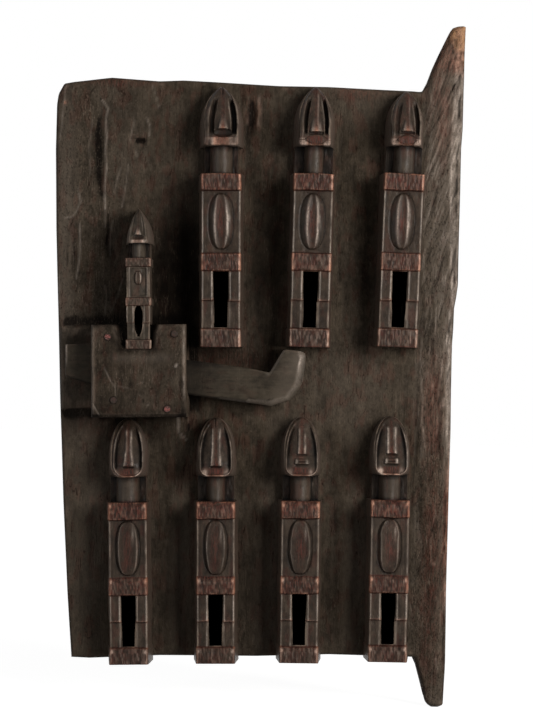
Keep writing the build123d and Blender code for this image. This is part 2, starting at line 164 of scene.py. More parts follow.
def spread(low, high, step, edge=(), fold=1):
    """Places from low to high with extra ones at the given distances from both ends; their count less
    one is a multiple of fold.

    The step is one spacing, or pairs of a place and the spacing there: the places are even in the
    running sum of 1 / spacing."""
    edge = np.array(edge, float)
    inner = edge.max(initial=0)
    fine = np.linspace(low + inner, high - inner, 4000)
    stops, steps = np.array(step, float).T if np.ndim(step) else ([low, high], [step, step])
    spacing = np.interp(fine, stops, steps)
    count = np.concatenate([[0], np.cumsum(np.diff(fine) * 2 / (spacing[1:] + spacing[:-1]))])
    ends = 2 * len(edge)
    number = max(2, -(-(round(count[-1]) + ends) // fold) * fold - ends + 1)
    middle = np.interp(np.linspace(0, count[-1], number), count, fine)
    if ends == 0:
        return middle
    return np.concatenate([[low], low + edge[:-1], middle, high - edge[:-1][::-1], [high]])


def turned(x, z, place, angle):
    """Local (x, z) turned by an angle about +Y and moved to a place, as (x, z) of the door."""
    return (place[0] + x * cos(angle) + z * sin(angle),
            place[1] - x * sin(angle) + z * cos(angle))


def box_mm(node):
    """Lowest and highest corner of a CAD node, in millimetres."""
    low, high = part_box(node)
    return np.array(low) / MM, np.array(high) / MM


# ---- meshes ----


def make_piece(name, points, faces, material, shares=None, hole=None):
    """Mesh object from points in millimetres, lists of faces, and named shares kept on its points.

    The faces whose number is in hole take the material that follows the first, a near-black painted
    shade."""
    mesh = bpy.data.meshes.new(name)
    mesh.from_pydata((points * MM).tolist(), [], [face for group in faces for face in group.tolist()])
    mesh.validate()
    mesh.shade_smooth()
    mesh.set_sharp_from_angle(angle=SHARP_ANGLE)
    for key, values in (shares or {}).items():
        attribute = mesh.attributes.new(key, "FLOAT", "POINT")
        attribute.data.foreach_set("value", np.asarray(values, np.float32).ravel())
    mesh.materials.append(material)
    if hole is not None:
        # faces in a deep hole take a near-black painted shade
        mesh.materials.append(painted_shade_material())
        chosen = np.zeros(len(mesh.polygons), np.int32)
        chosen[hole] = 1
        mesh.polygons.foreach_set("material_index", chosen)
    piece = bpy.data.objects.new(name, mesh)
    bpy.context.scene.collection.objects.link(piece)
    return piece


def tube_faces(rows, columns):
    """Faces of a tube of rows x columns points whose columns wrap round, with a polygon on each end."""
    index = np.arange(rows * columns).reshape(rows, columns)
    beside = np.roll(index, -1, axis=1)
    sides = np.stack([index[:-1], beside[:-1], beside[1:], index[1:]], axis=-1).reshape(-1, 4)
    return [sides, index[:1, ::-1], index[-1:]]


def cut(piece, cutters):
    """Takes closed cutting objects out of a piece with exact Booleans and removes them."""
    for cutter in cutters:
        modifier = piece.modifiers.new("cut", "BOOLEAN")
        modifier.operation = "DIFFERENCE"
        modifier.solver = "EXACT"
        modifier.object = cutter
    bpy.context.view_layer.update()
    graph = bpy.context.evaluated_depsgraph_get()
    mesh = bpy.data.meshes.new_from_object(piece.evaluated_get(graph))
    piece.modifiers.clear()
    old = piece.data
    piece.data = mesh
    bpy.data.meshes.remove(old)
    mesh.name = piece.name
    mesh.set_sharp_from_angle(angle=SHARP_ANGLE)
    for cutter in cutters:
        bpy.data.objects.remove(cutter)


def dress(piece, slot, *nodes):
    """Rides a piece on the body of the CAD nodes that it stands for and hides them. Its slot is not
    used.
    """
    body = frame["nodes"][nodes[0]]["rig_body"]
    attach(piece, body)
    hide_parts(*nodes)


# ---- shaders ----


class Value:
    """Socket of a node tree whose + - * / and ** add Math nodes."""

    def __init__(self, tree, socket):
        self.tree = tree
        self.socket = socket

    def math(self, operation, first, second):
        """Math node of two values or numbers."""
        return self.tree.add("ShaderNodeMath", {"operation": operation}, {0: first, 1: second})

    def __add__(self, other):
        return self.math("ADD", self, other)

    def __radd__(self, other):
        return self.math("ADD", other, self)

    def __sub__(self, other):
        return self.math("SUBTRACT", self, other)

    def __rsub__(self, other):
        return self.math("SUBTRACT", other, self)

    def __mul__(self, other):
        return self.math("MULTIPLY", self, other)

    def __rmul__(self, other):
        return self.math("MULTIPLY", other, self)

    def __truediv__(self, other):
        return self.math("DIVIDE", self, other)

    def __pow__(self, other):
        return self.math("POWER", self, other)

    def most(self, other):
        """The larger of two values."""
        return self.math("MAXIMUM", self, other)

    def eased(self, low, high, start=0, end=1):
        """Smoothstep of the value from low to high, spread from start to end."""
        return self.tree.add(
            "ShaderNodeMapRange", {"interpolation_type": "SMOOTHSTEP"},
            {"Value": self, "From Min": low, "From Max": high, "To Min": start, "To Max": end})

    def veins(self, width):
        """1 where the value is 0.5, eased to 0 at a width from it: thin lines along a noise."""
        off = self.tree.add("ShaderNodeMath", {"operation": "ABSOLUTE"}, {0: self - 0.5})
        return 1 - off.eased(0, width)


class Finish:
    """Node tree of one material or of the world."""

    def __init__(self, owner):
        self.owner = owner
        owner.use_nodes = True
        self.nodes = owner.node_tree.nodes
        self.links = owner.node_tree.links
        self.nodes.clear()
        self.place = self.add("ShaderNodeTexCoord", {}, {}, "Object")

    def add(self, kind, settings, inputs, output=0):
        """Adds a node: first its settings, then the values or links of its sockets. Returns one of its
        outputs, or nothing when output is None."""
        node = self.nodes.new(kind)
        for key, value in settings.items():
            setattr(node, key, value)
        for key, value in inputs.items():
            if isinstance(value, Value):
                self.links.new(value.socket, node.inputs[key])
            else:
                node.inputs[key].default_value = value
        return None if output is None else Value(self, node.outputs[output])

    def noise(self, size, detail=2, shift=0):
        """Noise about 0.5 with grains of a size in millimetres along x, y and z."""
        scaled = self.add("ShaderNodeVectorMath", {"operation": "MULTIPLY_ADD"},
                          {0: self.place, 1: [1 / (MM * s) for s in size], 2: (shift, shift, shift)})
        return self.add("ShaderNodeTexNoise", {}, {"Vector": scaled, "Scale": 1, "Detail": detail})

    def share(self, name):
        """Named share kept on the piece's points."""
        return self.add("ShaderNodeAttribute", {"attribute_name": name}, {}, "Fac")

    def mix(self, factor, first, second):
        """Colour from first at factor 0 to second at factor 1."""
        inputs = {0: factor, 6: with_alpha(first), 7: with_alpha(second)}
        return self.add("ShaderNodeMix", {"data_type": "RGBA"}, inputs, 2)

    def shader(self, colour, roughness, height, relief, specular):
        """Principled surface with a bump of height times relief, in metres."""
        bump = self.add("ShaderNodeBump", {}, {"Height": height, "Distance": relief})
        surface = self.add(
            "ShaderNodeBsdfPrincipled", {},
            {"Base Color": colour, "Roughness": roughness, "Normal": bump,
             "Specular IOR Level": specular})
        return self.finished(surface)

    def finished(self, surface, output="ShaderNodeOutputMaterial"):
        """The tree's owner, with the surface as its output."""
        self.add(output, {}, {"Surface": surface}, None)
        return self.owner


def with_alpha(colour):
    """A socket or RGBA colour as it is, and an RGB colour with alpha 1."""
    return colour if isinstance(colour, Value) or len(colour) == 4 else [*colour, 1]


def tone(colour, factor):
    """RGB of a colour times a factor."""
    return [channel * factor for channel in colour]


def patina_wood(name, base, wear, dust, red, relief, rough, sheen, lying=False):
    """Smoke-dark wood: grain and streaks, grey dust on broad patches, red-brown where hands have
    rubbed, light proud edges, painted highlights from the light share, painted light from the dust
    share, and near-black painted shade in hollows and from the shade share. The grain stands upright,
    or lies along x."""
    looks = bpy.context.scene.door_colours
    f = Finish(bpy.data.materials.new(name))

    def noise(across, along, detail, shift):
        """Noise whose grains lie along the wood's grain."""
        size = (along, across, across) if lying else (across, across, along)
        return f.noise(size, detail, shift)

    grain = noise(1.5, 26, 3, 0)
    fibre = noise(1.2, 8, 2, 3.1)
    streak = noise(6.5, 60, 3, 7.7)
    mottle = noise(5, 7.5, 4, 11.3)
    blotch = noise(17, 26, 3, 29.9)
    patch = noise(60, 110, 2, 17.9)
    rubbed = noise(9, 20, 3, 23.3)
    speck = f.noise((1.5, 1.5, 2.4), 3, 41.7)
    scratch = f.noise((2.2, 2.2, 34), 2, 53.1)
    proud, sunk, rub, rough_marks = (f.share(key) for key in ("proud", "sunk", "rub", "rough"))

    mixed = grain * 0.16 + streak * 0.2 + mottle * 0.34 + blotch * 0.3
    colour = f.mix(mixed.eased(0.37, 0.63), tone(base, 0.58), tone(base, 1.42))
    # grey dust from noise and from the dust share, which also lays painted light on shaded plank and a
    # painted highlight on the necks
    dust_and_painted_light = patch.eased(0.36, 0.62) * mottle.eased(0.3, 0.7, 0.35, 1) * dust + f.share("dust_and_painted_light") * 0.8
    hatch = rub * (0.2 + fibre.eased(0.42, 0.6) * 0.8)
    reddish = rubbed.eased(0.5, 0.64) * 0.22 * red + hatch * red
    edge = (proud * (0.6 + fibre * 0.8)).eased(0.1, 0.95) * rubbed.eased(0.4, 0.6, 0.12, 1) * wear
    # painted highlight: the light share broken by specks, mixed below towards the polished colours
    glint = f.share("light") * speck.eased(0.3, 0.62, 0.45, 1)
    # painted shade, with a few dark spots, from the shade share broken by blotches
    shade_and_soot_mask = f.share("shade_and_soot_share") * blotch.eased(0.3, 0.6, 1, 0.85)
    crack = streak.veins(0.01) * rubbed.eased(0.52, 0.6)
    scratched = scratch.veins(0.02) * blotch.eased(0.46, 0.6) * rough_marks
    pits = speck.eased(0.56, 0.66) * rough_marks
    layers = ((dust_and_painted_light, looks.dust),
              (reddish, looks.rubbed),
              (rub * fibre.eased(0.5, 0.38) * 0.55, looks.soot_and_shade),
              (edge, f.mix(rub, looks.worn_edge, looks.worn_red)),
              (glint, f.mix(rub * 1.1, looks.polished, looks.red_highlight)),
              # painted shade in hollows, where the surface lies behind its own blurred mean
              (sunk.eased(0.05, 0.9) * 0.85, looks.soot_and_shade),
              (shade_and_soot_mask, looks.soot_and_shade),
              (f.share("pale") * mottle.eased(0.3, 0.62, 0.35, 1), looks.bare_wood),
              (crack * 0.6, looks.soot_and_shade),
              (scratched * 0.6, looks.worn_edge),
              (pits * 0.32, looks.soot_and_shade),
              (speck.eased(0.42, 0.3) * ((1 - shade_and_soot_mask) * rough_marks * 0.3), looks.worn_edge))
    for factor, over in layers:
        colour = f.mix(factor, colour, over)
    roughness = rough + (mottle - 0.5) * 0.3 + (blotch - 0.5) * 0.2 + shade_and_soot_mask * 0.35 - glint * 0.08
    height = (grain * 0.25 + fibre * (0.2 + rub * 0.6) + mottle * 0.7 + streak * 0.3 + blotch
              - crack * 0.5 - pits * 0.25 - speck * 0.25 * rough_marks)
    return f.shader(colour, roughness, height, relief, sheen)


def painted_shade_material():
    """Painted shade: dull near-black of a deep hole, made once."""
    made = bpy.data.materials.get("slot_painted_shade")
    if made:
        return made
    f = Finish(bpy.data.materials.new("slot_painted_shade"))
    return f.shader((0.0022, 0.0018, 0.0016, 1), 0.9, f.noise((3, 3, 9)), 0.0003, 0)


def rusty_iron(name, rust, middle):
    """Forged iron: dark scale, a pitted face, and a share of red-brown rust in blotches that thins
    away from the middle of the head."""
    looks = bpy.context.scene.door_colours
    f = Finish(bpy.data.materials.new(name))
    pits = f.noise((1.1, 1.1, 1.1), 3)
    blotch = f.noise((3.2, 3.2, 3.2), 3, 5.1)
    away = f.add("ShaderNodeVectorMath", {"operation": "DISTANCE"}, {0: f.place, 1: middle}, "Value")
    worn = away.eased(3.9 * MM, 2.2 * MM)
    colour = f.mix(blotch.eased(0.42, 0.56) * worn * rust, looks.iron, looks.rust)
    colour = f.mix(pits.eased(0.48, 0.36) * worn * 0.6, colour, tone(looks.scoured, rust))
    colour = f.mix(pits.eased(0.52, 0.62) * 0.7, colour, tone(looks.iron, 0.5))
    return f.shader(colour, 0.5 + blotch * 0.3, pits + blotch * 0.6, 0.0005, 0.15)


# ---- plank ----

# Outline in the front view, in millimetres: heights with the x of the left and right edges, and
# places across with the z of the bottom and top edges, horns included.
LEFT_EDGE = ((31.5, -405.4), (105, -412.4), (205, -420.4), (316, -427.7), (417, -433.5),
             (506, -438.9), (595, -442.6), (640, -443), (675, -443))
RIGHT_EDGE = ((-11, 9.9), (3, 10.2), (42, 10.3), (75, 9.6), (120, 8.6), (254, 7.4),
              (298, 7.3), (343, 6.2), (393, 5.6), (412, 6.3), (434, 6.4), (447, 8.4),
              (460, 9.8), (494, 9.3), (566, 8.7), (611, 7.9), (634, 8.9), (675, 8.5),
              (712, 8.6), (749.3, 9.1))
BOTTOM_EDGE = ((-405.4, 31.5), (-385, 31.2), (-307, 37), (-200, 39.8), (-120, 44.7),
               (-26.2, 44.9), (-21, 28.3), (-17.3, 15), (-13.5, 1.8), (-11.5, -4.5), (-8.4, -8.1),
               (-4, -10.8), (3.7, -10.8), (8.4, -8.5), (10.2, -3))
TOP_EDGE = ((-443, 645), (-441.6, 657), (-435.5, 668.6), (-425, 670.8), (-410, 673),
            (-383, 677), (-330, 675), (-303, 676.8), (-196, 674.3), (-142, 675),
            (-48, 673.7), (-38.3, 673.1), (-33.5, 678), (-29, 693.6), (-22.8, 709.4),
            (-12.5, 733.2), (-8.4, 742.3), (-5.2, 746.6), (0.3, 748.6), (6.5, 749.3), (9.1, 748.2))


class Scoop(NamedTuple):
    """Gouge in the plank: centre, half sizes, depth, lean in degrees, and height of its right lip."""

    x: float
    z: float
    half_width: float
    half_height: float
    depth: float
    lean: float
    lip: float


SCOOPS = [Scoop(*row) for row in (
    (-394.5, 590, 8, 46, 2, -2, 0.3),
    (-349, 612, 11, 22, 1.6, 0, 0.2),
    (-349, 608, 6, 4.5, 2.2, 0, 0),
    (-225, 641, 6.5, 21, 1.7, -2, 0.4),
    (-418.5, 489, 7, 38, 1.1, 0, 0.2),
    (-378, 485, 7, 50, 0.9, -4, 0.2),
    (-285, 296, 1.6, 15, 1.5, -14, 0.6),
    (-187.4, 374.2, 2.4, 6, 1.6, 0, 0.4),
    (-14, 320, 12, 54, 1, 1, 0.3),
)]


class Stroke(NamedTuple):
    """Scratch or crease in the plank: width, depth (proud below 0), strengths of its painted highlight
    and of its painted shade, and its points.
    """

    width: float
    depth: float
    light: float
    soot_and_shade: float
    points: tuple


STROKES = [Stroke(*row[:4], row[4:]) for row in (
    (1.5, 0, 0.8, 0, (-434, 648.2), (-433.4, 646.4)),
    (0.9, 0, 0.3, 0, (-433.1, 666.9), (-434.7, 646.7), (-436.8, 617.2), (-438.6, 603.2)),
    (0.8, 0.5, 0, 0.75, (-392.4, 675.3), (-405, 660.2), (-409.8, 641.4), (-410.9, 629)),
    (1, -0.5, 0.55, 0, (-392.3, 651.3), (-385.8, 642.3), (-387.7, 629.8), (-386.3, 611.3),
     (-387.3, 595.8), (-385, 575.7), (-386.7, 557.1), (-385, 530.9)),
    (3.4, 0.9, 0, 0.35, (-395.4, 629.5), (-397.1, 610.9), (-395.4, 584.7), (-392.2, 560),
     (-389.4, 546.2)),
    (1.6, 0.5, 0, 0.45, (-401.2, 618.5), (-401.1, 593.7)),
    (0.8, -0.2, 0.22, 0, (-402.4, 629.3), (-405.7, 599.8), (-402.5, 567.4)),
    (0.9, -0.3, 0.32, 0, (-356, 629.4), (-359.3, 615.3), (-359.8, 607.6)),
    (0.9, -0.3, 0.4, 0, (-342.2, 633), (-338.4, 623.8), (-338.7, 613)),
    (1.9, 1, 0, 0.7, (-357.6, 610.8), (-351.3, 608.4), (-343.6, 608.8)),
    (1.6, 1.2, 0, 0.8, (-352.6, 608), (-352.2, 604.6)),
    (1.7, 1.2, 0, 0.8, (-345.8, 608), (-345.4, 605.2)),
    (1, -0.2, 0.3, 0, (-353.2, 595.4), (-351.8, 590.5)),
    (0.8, -0.1, 0.22, 0, (-338.1, 671.8), (-332, 653.4), (-328.6, 644.3)),
    (0.8, -0.2, 0.3, 0, (-369.6, 576.3), (-373, 563.8), (-375.5, 548.2)),
    (0.8, -0.2, 0.26, 0, (-361.2, 581.2), (-362.2, 564.2), (-366.5, 533.1)),
    (0.8, -0.1, 0.28, 0, (-415.9, 553), (-412.2, 536.1)),
    (1, -0.3, 0.32, 0, (-415.2, 545.9), (-412.6, 538.8), (-416.4, 527.8), (-420.9, 521.1),
     (-429.3, 518.7)),
    (0.9, -0.4, 0.55, 0, (-412.9, 513.5), (-411.9, 497.9), (-411.5, 473.9), (-413.9, 457),
     (-414.3, 452.1)),
    (1, 0.9, 0, 0.75, (-420.2, 518.1), (-424.3, 505.9), (-425.3, 491.4), (-425.1, 467.4)),
    (0.8, -0.2, 0.26, 0, (-387, 546.9), (-385.3, 532.5), (-384.7, 510.9)),
    (1.5, 1, 0, 0.75, (-381.7, 533.9), (-381.3, 505), (-382.4, 493), (-380.9, 477.4)),
    (1.2, 0.6, 0, 0.55, (-376.5, 487.2), (-371.2, 475.3), (-371.8, 458.5)),
    (0.8, -0.2, 0.26, 0, (-376.3, 517.2), (-378.7, 499.1), (-378, 479.9)),
    (0.8, -0.2, 0.24, 0, (-361.9, 457.6), (-367.4, 435.8), (-374, 417.5)),
    (0.9, -0.2, 0.24, 0, (-382.2, 444.9), (-380.3, 431.7), (-381.6, 411.2)),
    (0.9, 0, 0.26, 0, (-434, 453.9), (-431.3, 413.1)),
    (1, -0.3, 0.55, 0, (-0.4, 558.9), (-0.6, 546.9)),
    (1.1, 0.5, 0, 0.75, (5.4, 565.2), (0.9, 556.6), (-0.3, 548.1)),
    (1, 0.8, 0, 0.5, (-0.5, 544.5), (-0.7, 515.6), (1.9, 494.1), (2.6, 479.7), (-0.6, 460.3),
     (-4.8, 444.5), (-10, 422.7)),
    (0.8, 0.3, 0.1, 0.25, (-13.9, 498.3), (-4.2, 496.3), (-10.9, 481.6), (-13.8, 462.3)),
    (0.9, 0.5, 0, 0.45, (-4.3, 498.7), (-9.7, 481.6), (-13.8, 462.3), (-16.1, 457.4)),
    (0.8, -0.3, 0.45, 0, (0.4, 483.2), (-4.5, 469.8), (-5.1, 460.2)),
    (1, 0.5, 0, 0.65, (2.5, 477.3), (-0.8, 466.3)),
    (0.8, -0.2, 0.35, 0, (-15.3, 469.4), (-16.4, 467)),
    (1.2, -0.3, 0.45, 0, (1.9, 494.1), (2.8, 474.9), (2.4, 462.8), (4.8, 444.9)),
    (0.9, -0.2, 0.35, 0, (-9.4, 439.6), (-11.2, 422.7)),
    (0.8, -0.1, 0.22, 0, (-20.9, 441.6), (-24.5, 423.4)),
    (0.8, 0.4, 0, 0.35, (-16.2, 563.2), (-22.7, 543.7)),
    (1.3, -0.3, 0.55, 0, (0.5, 431.5), (2.4, 411.1)),
    (0.9, -0.3, 0.42, 0, (-3.1, 398.1), (-3.1, 381.4), (-6, 371), (-6.1, 355.5)),
    (1, -0.5, 0.28, 0, (-23, 361.3), (-27.2, 350.9), (-25.1, 329.1), (-25.8, 312.3), (-23.2, 293),
     (-20.8, 279)),
    (1.8, -0.2, 0.75, 0, (-2.7, 332.4), (-4.3, 324.6), (-1.6, 327.3)),
    (1, -0.2, 0.35, 0, (-10.2, 327), (-7.8, 311.6), (-8.4, 293.6)),
    (1.2, -0.3, 0.62, 0, (2.8, 397), (2.4, 371.3), (4.4, 332.7), (4, 306.9), (3.8, 294)),
    (0.9, 0.4, 0, 0.55, (-1, 393), (0.5, 371.2), (0.6, 348)),
    (1.1, 0.5, 0, 0.6, (-6, 297.5), (-5.4, 280.8), (-2.9, 266.7)),
    (0.8, 0, 0.3, 0, (-16.6, 360.3), (-14.8, 347.5)),
    (0.9, -0.2, 0.35, 0, (-11.3, 176.7), (-9.4, 151.1), (-5, 149.3)),
    (0.9, 0, 0.35, 0, (-0.7, 44.7), (1.7, 33)),
    (0.9, 0, 0.25, 0, (-32.4, 104.9), (-28, 91.2)),
    (0.9, -0.2, 0.38, 0, (-220, 663), (-217, 648), (-218.5, 630)),
    (0.9, -0.2, 0.25, 0, (-231, 661), (-232.5, 646), (-230, 630)),
    (0.8, -0.3, 1, 0, (-295.4, 302.8), (-293.9, 284.4), (-290.7, 280.5), (-284.9, 278)),
    (1.2, 0.8, 0, 0.55, (-2.5, 682.1), (-18.6, 643.4), (-29.9, 625.5), (-31, 611.2)),
    (0.9, -0.2, 0.28, 0, (0.5, 682.1), (-15.6, 643.4), (-27, 625.5)),
    (1, 0.6, 0, 0.45, (-4.3, 620.1), (-16, 592.6)),
    (1, 0.5, 0, 0.45, (3.5, 691.8), (-6.1, 672.4)),
)]
EDGE_STEPS = (0.5, 1.2, 2.2, 3.5, 5, 7)
BACK_FOLD = 4                     # the back has every fourth column of the front
BACK_ROUND = 3
PANEL_TALL = 640                  # height for which the rows are spaced
BOTTOM_SHARE = 0.9168             # x on the bottom edge is this share of x on the top edge
BOTTOM_SHIFT = 0.75
HORN_LEFT = -42                   # left of the horns' feet, where the columns get closer
HORN_THIN = (5.4, 4.6)            # how much thinner the upper and lower horn's tips are
STILE_LEFT = -31                  # the stile stands a little before the panel from here on
STILE_RAISE = 1.3
STILE_BEVEL = 13                  # width of the worn bevel along the stile's right edge
CUT_SLANT = 0.3                   # slope of the stile's adze cuts
TAPER_TOP = (690, 736)            # the horns thin from the first height to the second
TAPER_BOTTOM = (31, 4)
NO_CHANGE = 1e6                   # step of an unevenness that doesn't change across


class SoftPatch(NamedTuple):
    """Soft patch on the plank, of painted shade, of dust with painted light, or of red wear: centre,
    half sizes and strength.
    """

    x: float
    z: float
    half_width: float
    half_height: float
    strength: float


# painted shade between and beside the figures, round the lock figure, under the lock case and the bolt,
# and in two scoops
PAINTED_SHADE_PATCHES = [SoftPatch(*row) for row in (
    (-306, 475, 33, 70, 0.92),
    (-305, 440, 26, 52, 0.95),
    (-282, 480, 20, 90, 0.45),
    (-210, 475, 24, 100, 0.64),
    (-102, 473, 15, 70, 0.38),
    (-309, 126, 16, 95, 0.42),
    (-216, 126, 15, 95, 0.48),
    (-119, 128, 13, 90, 0.4),
    (-20, 105, 14, 80, 0.3),
    (-364, 405, 9, 22, 0.85),
    (-375, 455, 8, 50, 0.22),
    (-408, 386, 26, 34, 0.2),
    (-338, 291, 60, 14, 0.5),
    (-241, 369, 42, 11, 0.42),
    (-396, 593, 7.5, 40, 0.5),
    (-224.5, 628, 4.5, 9, 0.6),
)]
# grey dust, and painted light that lifts the shade left of each lower figure and left of the first
# upper figure's head
DUST_AND_LIGHT_PATCHES = [SoftPatch(*row) for row in (
    (-6, 610, 22, 170, 0.85),
    (-3, 410, 14, 90, 0.5),
    (4, 340, 9, 50, 0.42),
    (4, 120, 8, 130, 0.35),
    (-110, 330, 70, 40, 0.22),
    (-110, 655, 40, 30, 0.3),
    (-390, 600, 60, 80, 0.12),
    (-431, 440, 13, 210, 0.85),
    (-280, 555, 16, 40, 0.3),
    (-400, 165, 30, 160, 0.45),
    (-288, 130, 12, 100, 0.7),
    (-192, 132, 12, 100, 0.7),
    (-95, 134, 11, 100, 0.65),
)]
RED = [SoftPatch(*row) for row in (
    (-14, 323, 11, 52, 0.6),
    (-13, 640, 9, 45, 0.5),
    (-241, 367, 40, 12, 0.45),
    (-22, 697, 6, 26, 0.5),
    (-10, 150, 11, 110, 0.5),
    (6, 182, 4, 80, 0.95),
    (-376, 672, 36, 5, 0.55),
    (-110, 668, 26, 8, 0.45),
    (-390, 296, 20, 20, 0.25),
    (-433.5, 647, 2.2, 2.6, 1),
    (-225, 645, 9, 22, 0.45),
)]
STILE_BORDER = ((260, 3), (330, 1.6), (400, -1), (446, 3.4), (500, -0.2), (563, -3.1),
                (618, -3.4), (666, -1.9), (719, 0.2))      # left side of the pale edge, by height


def laid(patches, x, z):
    """Share from 0 to 1 of overlapping soft-edged oval patches, with uneven borders."""
    bare = np.ones_like(x)
    wobble = 1 + 0.22 * uneven(x, z, 22, 34, 51)
    for patch in patches:
        reach = ((x - patch.x) / patch.half_width) ** 2 + ((z - patch.z) / patch.half_height) ** 2
        bare = bare * (1 - patch.strength * np.exp(-((reach * wobble) ** 1.6) * 0.8))
    return 1 - bare


def edge_at(edge, places):
    """Second coordinate of an outline at places along its first, on straight runs between points."""
    first, second = np.array(edge, float).T
    return np.interp(places, first, second)


def scoop_relief(x, z, scoop):
    """Depth change of a scoop: -depth * (1 - r^2)^2 inside its ellipse, with a bell for its lip."""
    angle = radians(scoop.lean)
    across = (x - scoop.x) * cos(angle) - (z - scoop.z) * sin(angle)
    along = (x - scoop.x) * sin(angle) + (z - scoop.z) * cos(angle)
    reach = (across / scoop.half_width) ** 2 + (along / scoop.half_height) ** 2
    bowl = -scoop.depth * np.clip(1 - reach, 0, 1) ** 1.5
    lip = scoop.lip * bell(across - scoop.half_width, 1.5) * bell(along, scoop.half_height * 0.8)
    return bowl + lip


def stroke_share(x, z, stroke):
    """Bell of the distance to a bent line through the stroke's points, broken up along it."""
    points = np.array(stroke.points, float)
    nearest = np.full_like(x, 1e6)
    for start, end in zip(points[:-1], points[1:]):
        run = end - start
        share = np.clip(((x - start[0]) * run[0] + (z - start[1]) * run[1]) / (run @ run), 0, 1)
        away = np.hypot(x - start[0] - share * run[0], z - start[1] - share * run[1])
        nearest = np.minimum(nearest, away)
    return bell(nearest, stroke.width) * (0.72 + 0.28 * uneven(x, z, 2.5, 6, 53))


def stile_looks(x, z, from_edge):
    """Painted lights and shade of the stile: light streaks that follow its cuts, which slant in the
    upper part, painted lighter higher up; the pale mottled worn edge, with a light strip low down along
    it;
    and painted shade in dark streaks along the cuts and in a thin dark line outside the edge."""
    stile = ease(STILE_LEFT - 6, STILE_LEFT + 2, x)
    slanting = ease(430, 520, z)
    slant = x - CUT_SLANT * (z * slanting + 520 * (1 - slanting))
    streak = uneven(slant, z, 1.9, 24, 54)
    fine = uneven(slant, z, 1.3, 5, 55)
    high = ease(255, 330, z)
    light = stile * (0.03 + 0.34 * np.clip(streak, 0, 1) ** 2) * (0.3 + 0.7 * high)
    light += stile * 0.22 * np.clip(fine, 0, 1) ** 2 * (0.4 + 0.6 * high)
    inside = x - edge_at(STILE_BORDER, z) - 0.8 * uneven(x, z, 5, 9, 56)
    light += ease(-0.9, 0.9, inside) * ease(268, 285, z) * (0.32 + 0.3 * uneven(x, z, 2, 5, 57))
    light += 0.42 * bell(inside, 0.9) * (1 + uneven(x, z, 2, 12, 59)) * ease(280, 300, z)
    low_edge = (1 - ease(1.5, 5, from_edge)) * band(100, 290, 20, z)
    light += 0.34 * low_edge * (1 + uneven(x, z, 2, 5, 58))
    soot_and_shade = stile * (0.42 * np.clip(-streak, 0, 1) ** 2 + 0.45 * np.clip(-fine, 0, 1) ** 2)
    soot_and_shade += 0.55 * (1 - ease(0.4, 1.6, from_edge)) * band(400, 740, 10, z)
    return light, soot_and_shade


def pad_share(x, z):
    """1 on the raised pad left of the lock case and under it, 0 off it."""
    (low, high), place, tilt = box_mm("lock_case"), lock_place(), radians(CASE_TILT)
    across = (x - place[0]) * cos(tilt) - (z - place[1]) * sin(tilt)
    up = (x - place[0]) * sin(tilt) + (z - place[1]) * cos(tilt)
    half_width = (high[0] - low[0]) / 2 - 2.5
    tall = band(-PAD_BOTTOM, PAD_TOP, 6, up + 0.8 * uneven(x, z, 14, 14, 41))
    return tall * (1 - ease(-1, 1, across - half_width))


def plank_relief(x, z, hewn):
    """Front of the plank before its flat: broad dish, long adze facets, scoops, pad, stile, bevel."""
    relief = 0.55 * uneven(x + 0.12 * z, z, 15, 85, 3) + 0.3 * uneven(x, z, 6, 38, 5)
    relief += 0.16 * uneven(x, z, 3.2, 26, 7) + 0.5 * uneven(x, z, 130, 170, 9)
    relief += 0.5 * uneven(x - 0.25 * z, z, 10, 60, 11) * (1 - ease(-380, -330, x))
    stile = ease(STILE_LEFT - 3, STILE_LEFT + 3, x + 6 * uneven(x, z, NO_CHANGE, 120, 13))
    slant = x - CUT_SLANT * z
    cuts = 0.4 * uneven(slant, z, 7, 60, 15) + 0.3 * uneven(slant, z, 2.4, 30, 16)
    relief += stile * (STILE_RAISE + cuts + 0.12 * uneven(x, z, 1.8, 6, 18))
    for scoop in SCOOPS:
        relief += scoop_relief(x, z, scoop)
    bevel = STILE_BEVEL * (1 + 0.3 * uneven(x, z, NO_CHANGE, 55, 17))
    bevel *= 0.55 + 0.45 * ease(330, 420, z)
    relief -= 4.5 * np.clip(1 - (edge_at(RIGHT_EDGE, z) - x) / bevel, 0, 1) ** 1.2
    pad = pad_share(x, z)
    return relief * hewn * (1 - 0.85 * pad * ease(-445, -420, x)) + PAD_RAISE * pad


def plank_grid(cell):
    """Places (x, z) of the plank's front in level rows, x = left + u * (right - left) and z = bottom +
    v * (top - bottom), with their distance in from its outline."""
    left, right = LEFT_EDGE[-1][1], RIGHT_EDGE[-1][1]
    columns = ((left, 0.7 * cell), (-345, 0.74 * cell), (-325, 1.25 * cell), (-60, 1.25 * cell),
               (HORN_LEFT, 0.58 * cell), (right, 0.52 * cell))
    across = spread(left, right, columns, EDGE_STEPS, fold=BACK_FOLD)
    top, bottom = edge_at(TOP_EDGE, across), edge_at(BOTTOM_EDGE, BOTTOM_SHARE * across + BOTTOM_SHIFT)
    rows = ((0, 1.2 * cell), (370, 1.15 * cell), (420, 0.9 * cell), (PANEL_TALL, 0.82 * cell))
    v = spread(0, PANEL_TALL, rows, EDGE_STEPS)[:, None] / PANEL_TALL
    z = bottom + v * (top - bottom)
    x_left, x_right = edge_at(LEFT_EDGE, z), edge_at(RIGHT_EDGE, z)
    x = x_left + (across - left) / (right - left) * (x_right - x_left)
    from_top, from_bottom = ((away / np.hypot(1, np.gradient(edge, across)))
                             for away, edge in ((top - z, top), (z - bottom, bottom)))
    inset = np.minimum(np.minimum(x - x_left, x_right - x), np.minimum(from_top, from_bottom))
    return x, z, inset, x_right - x


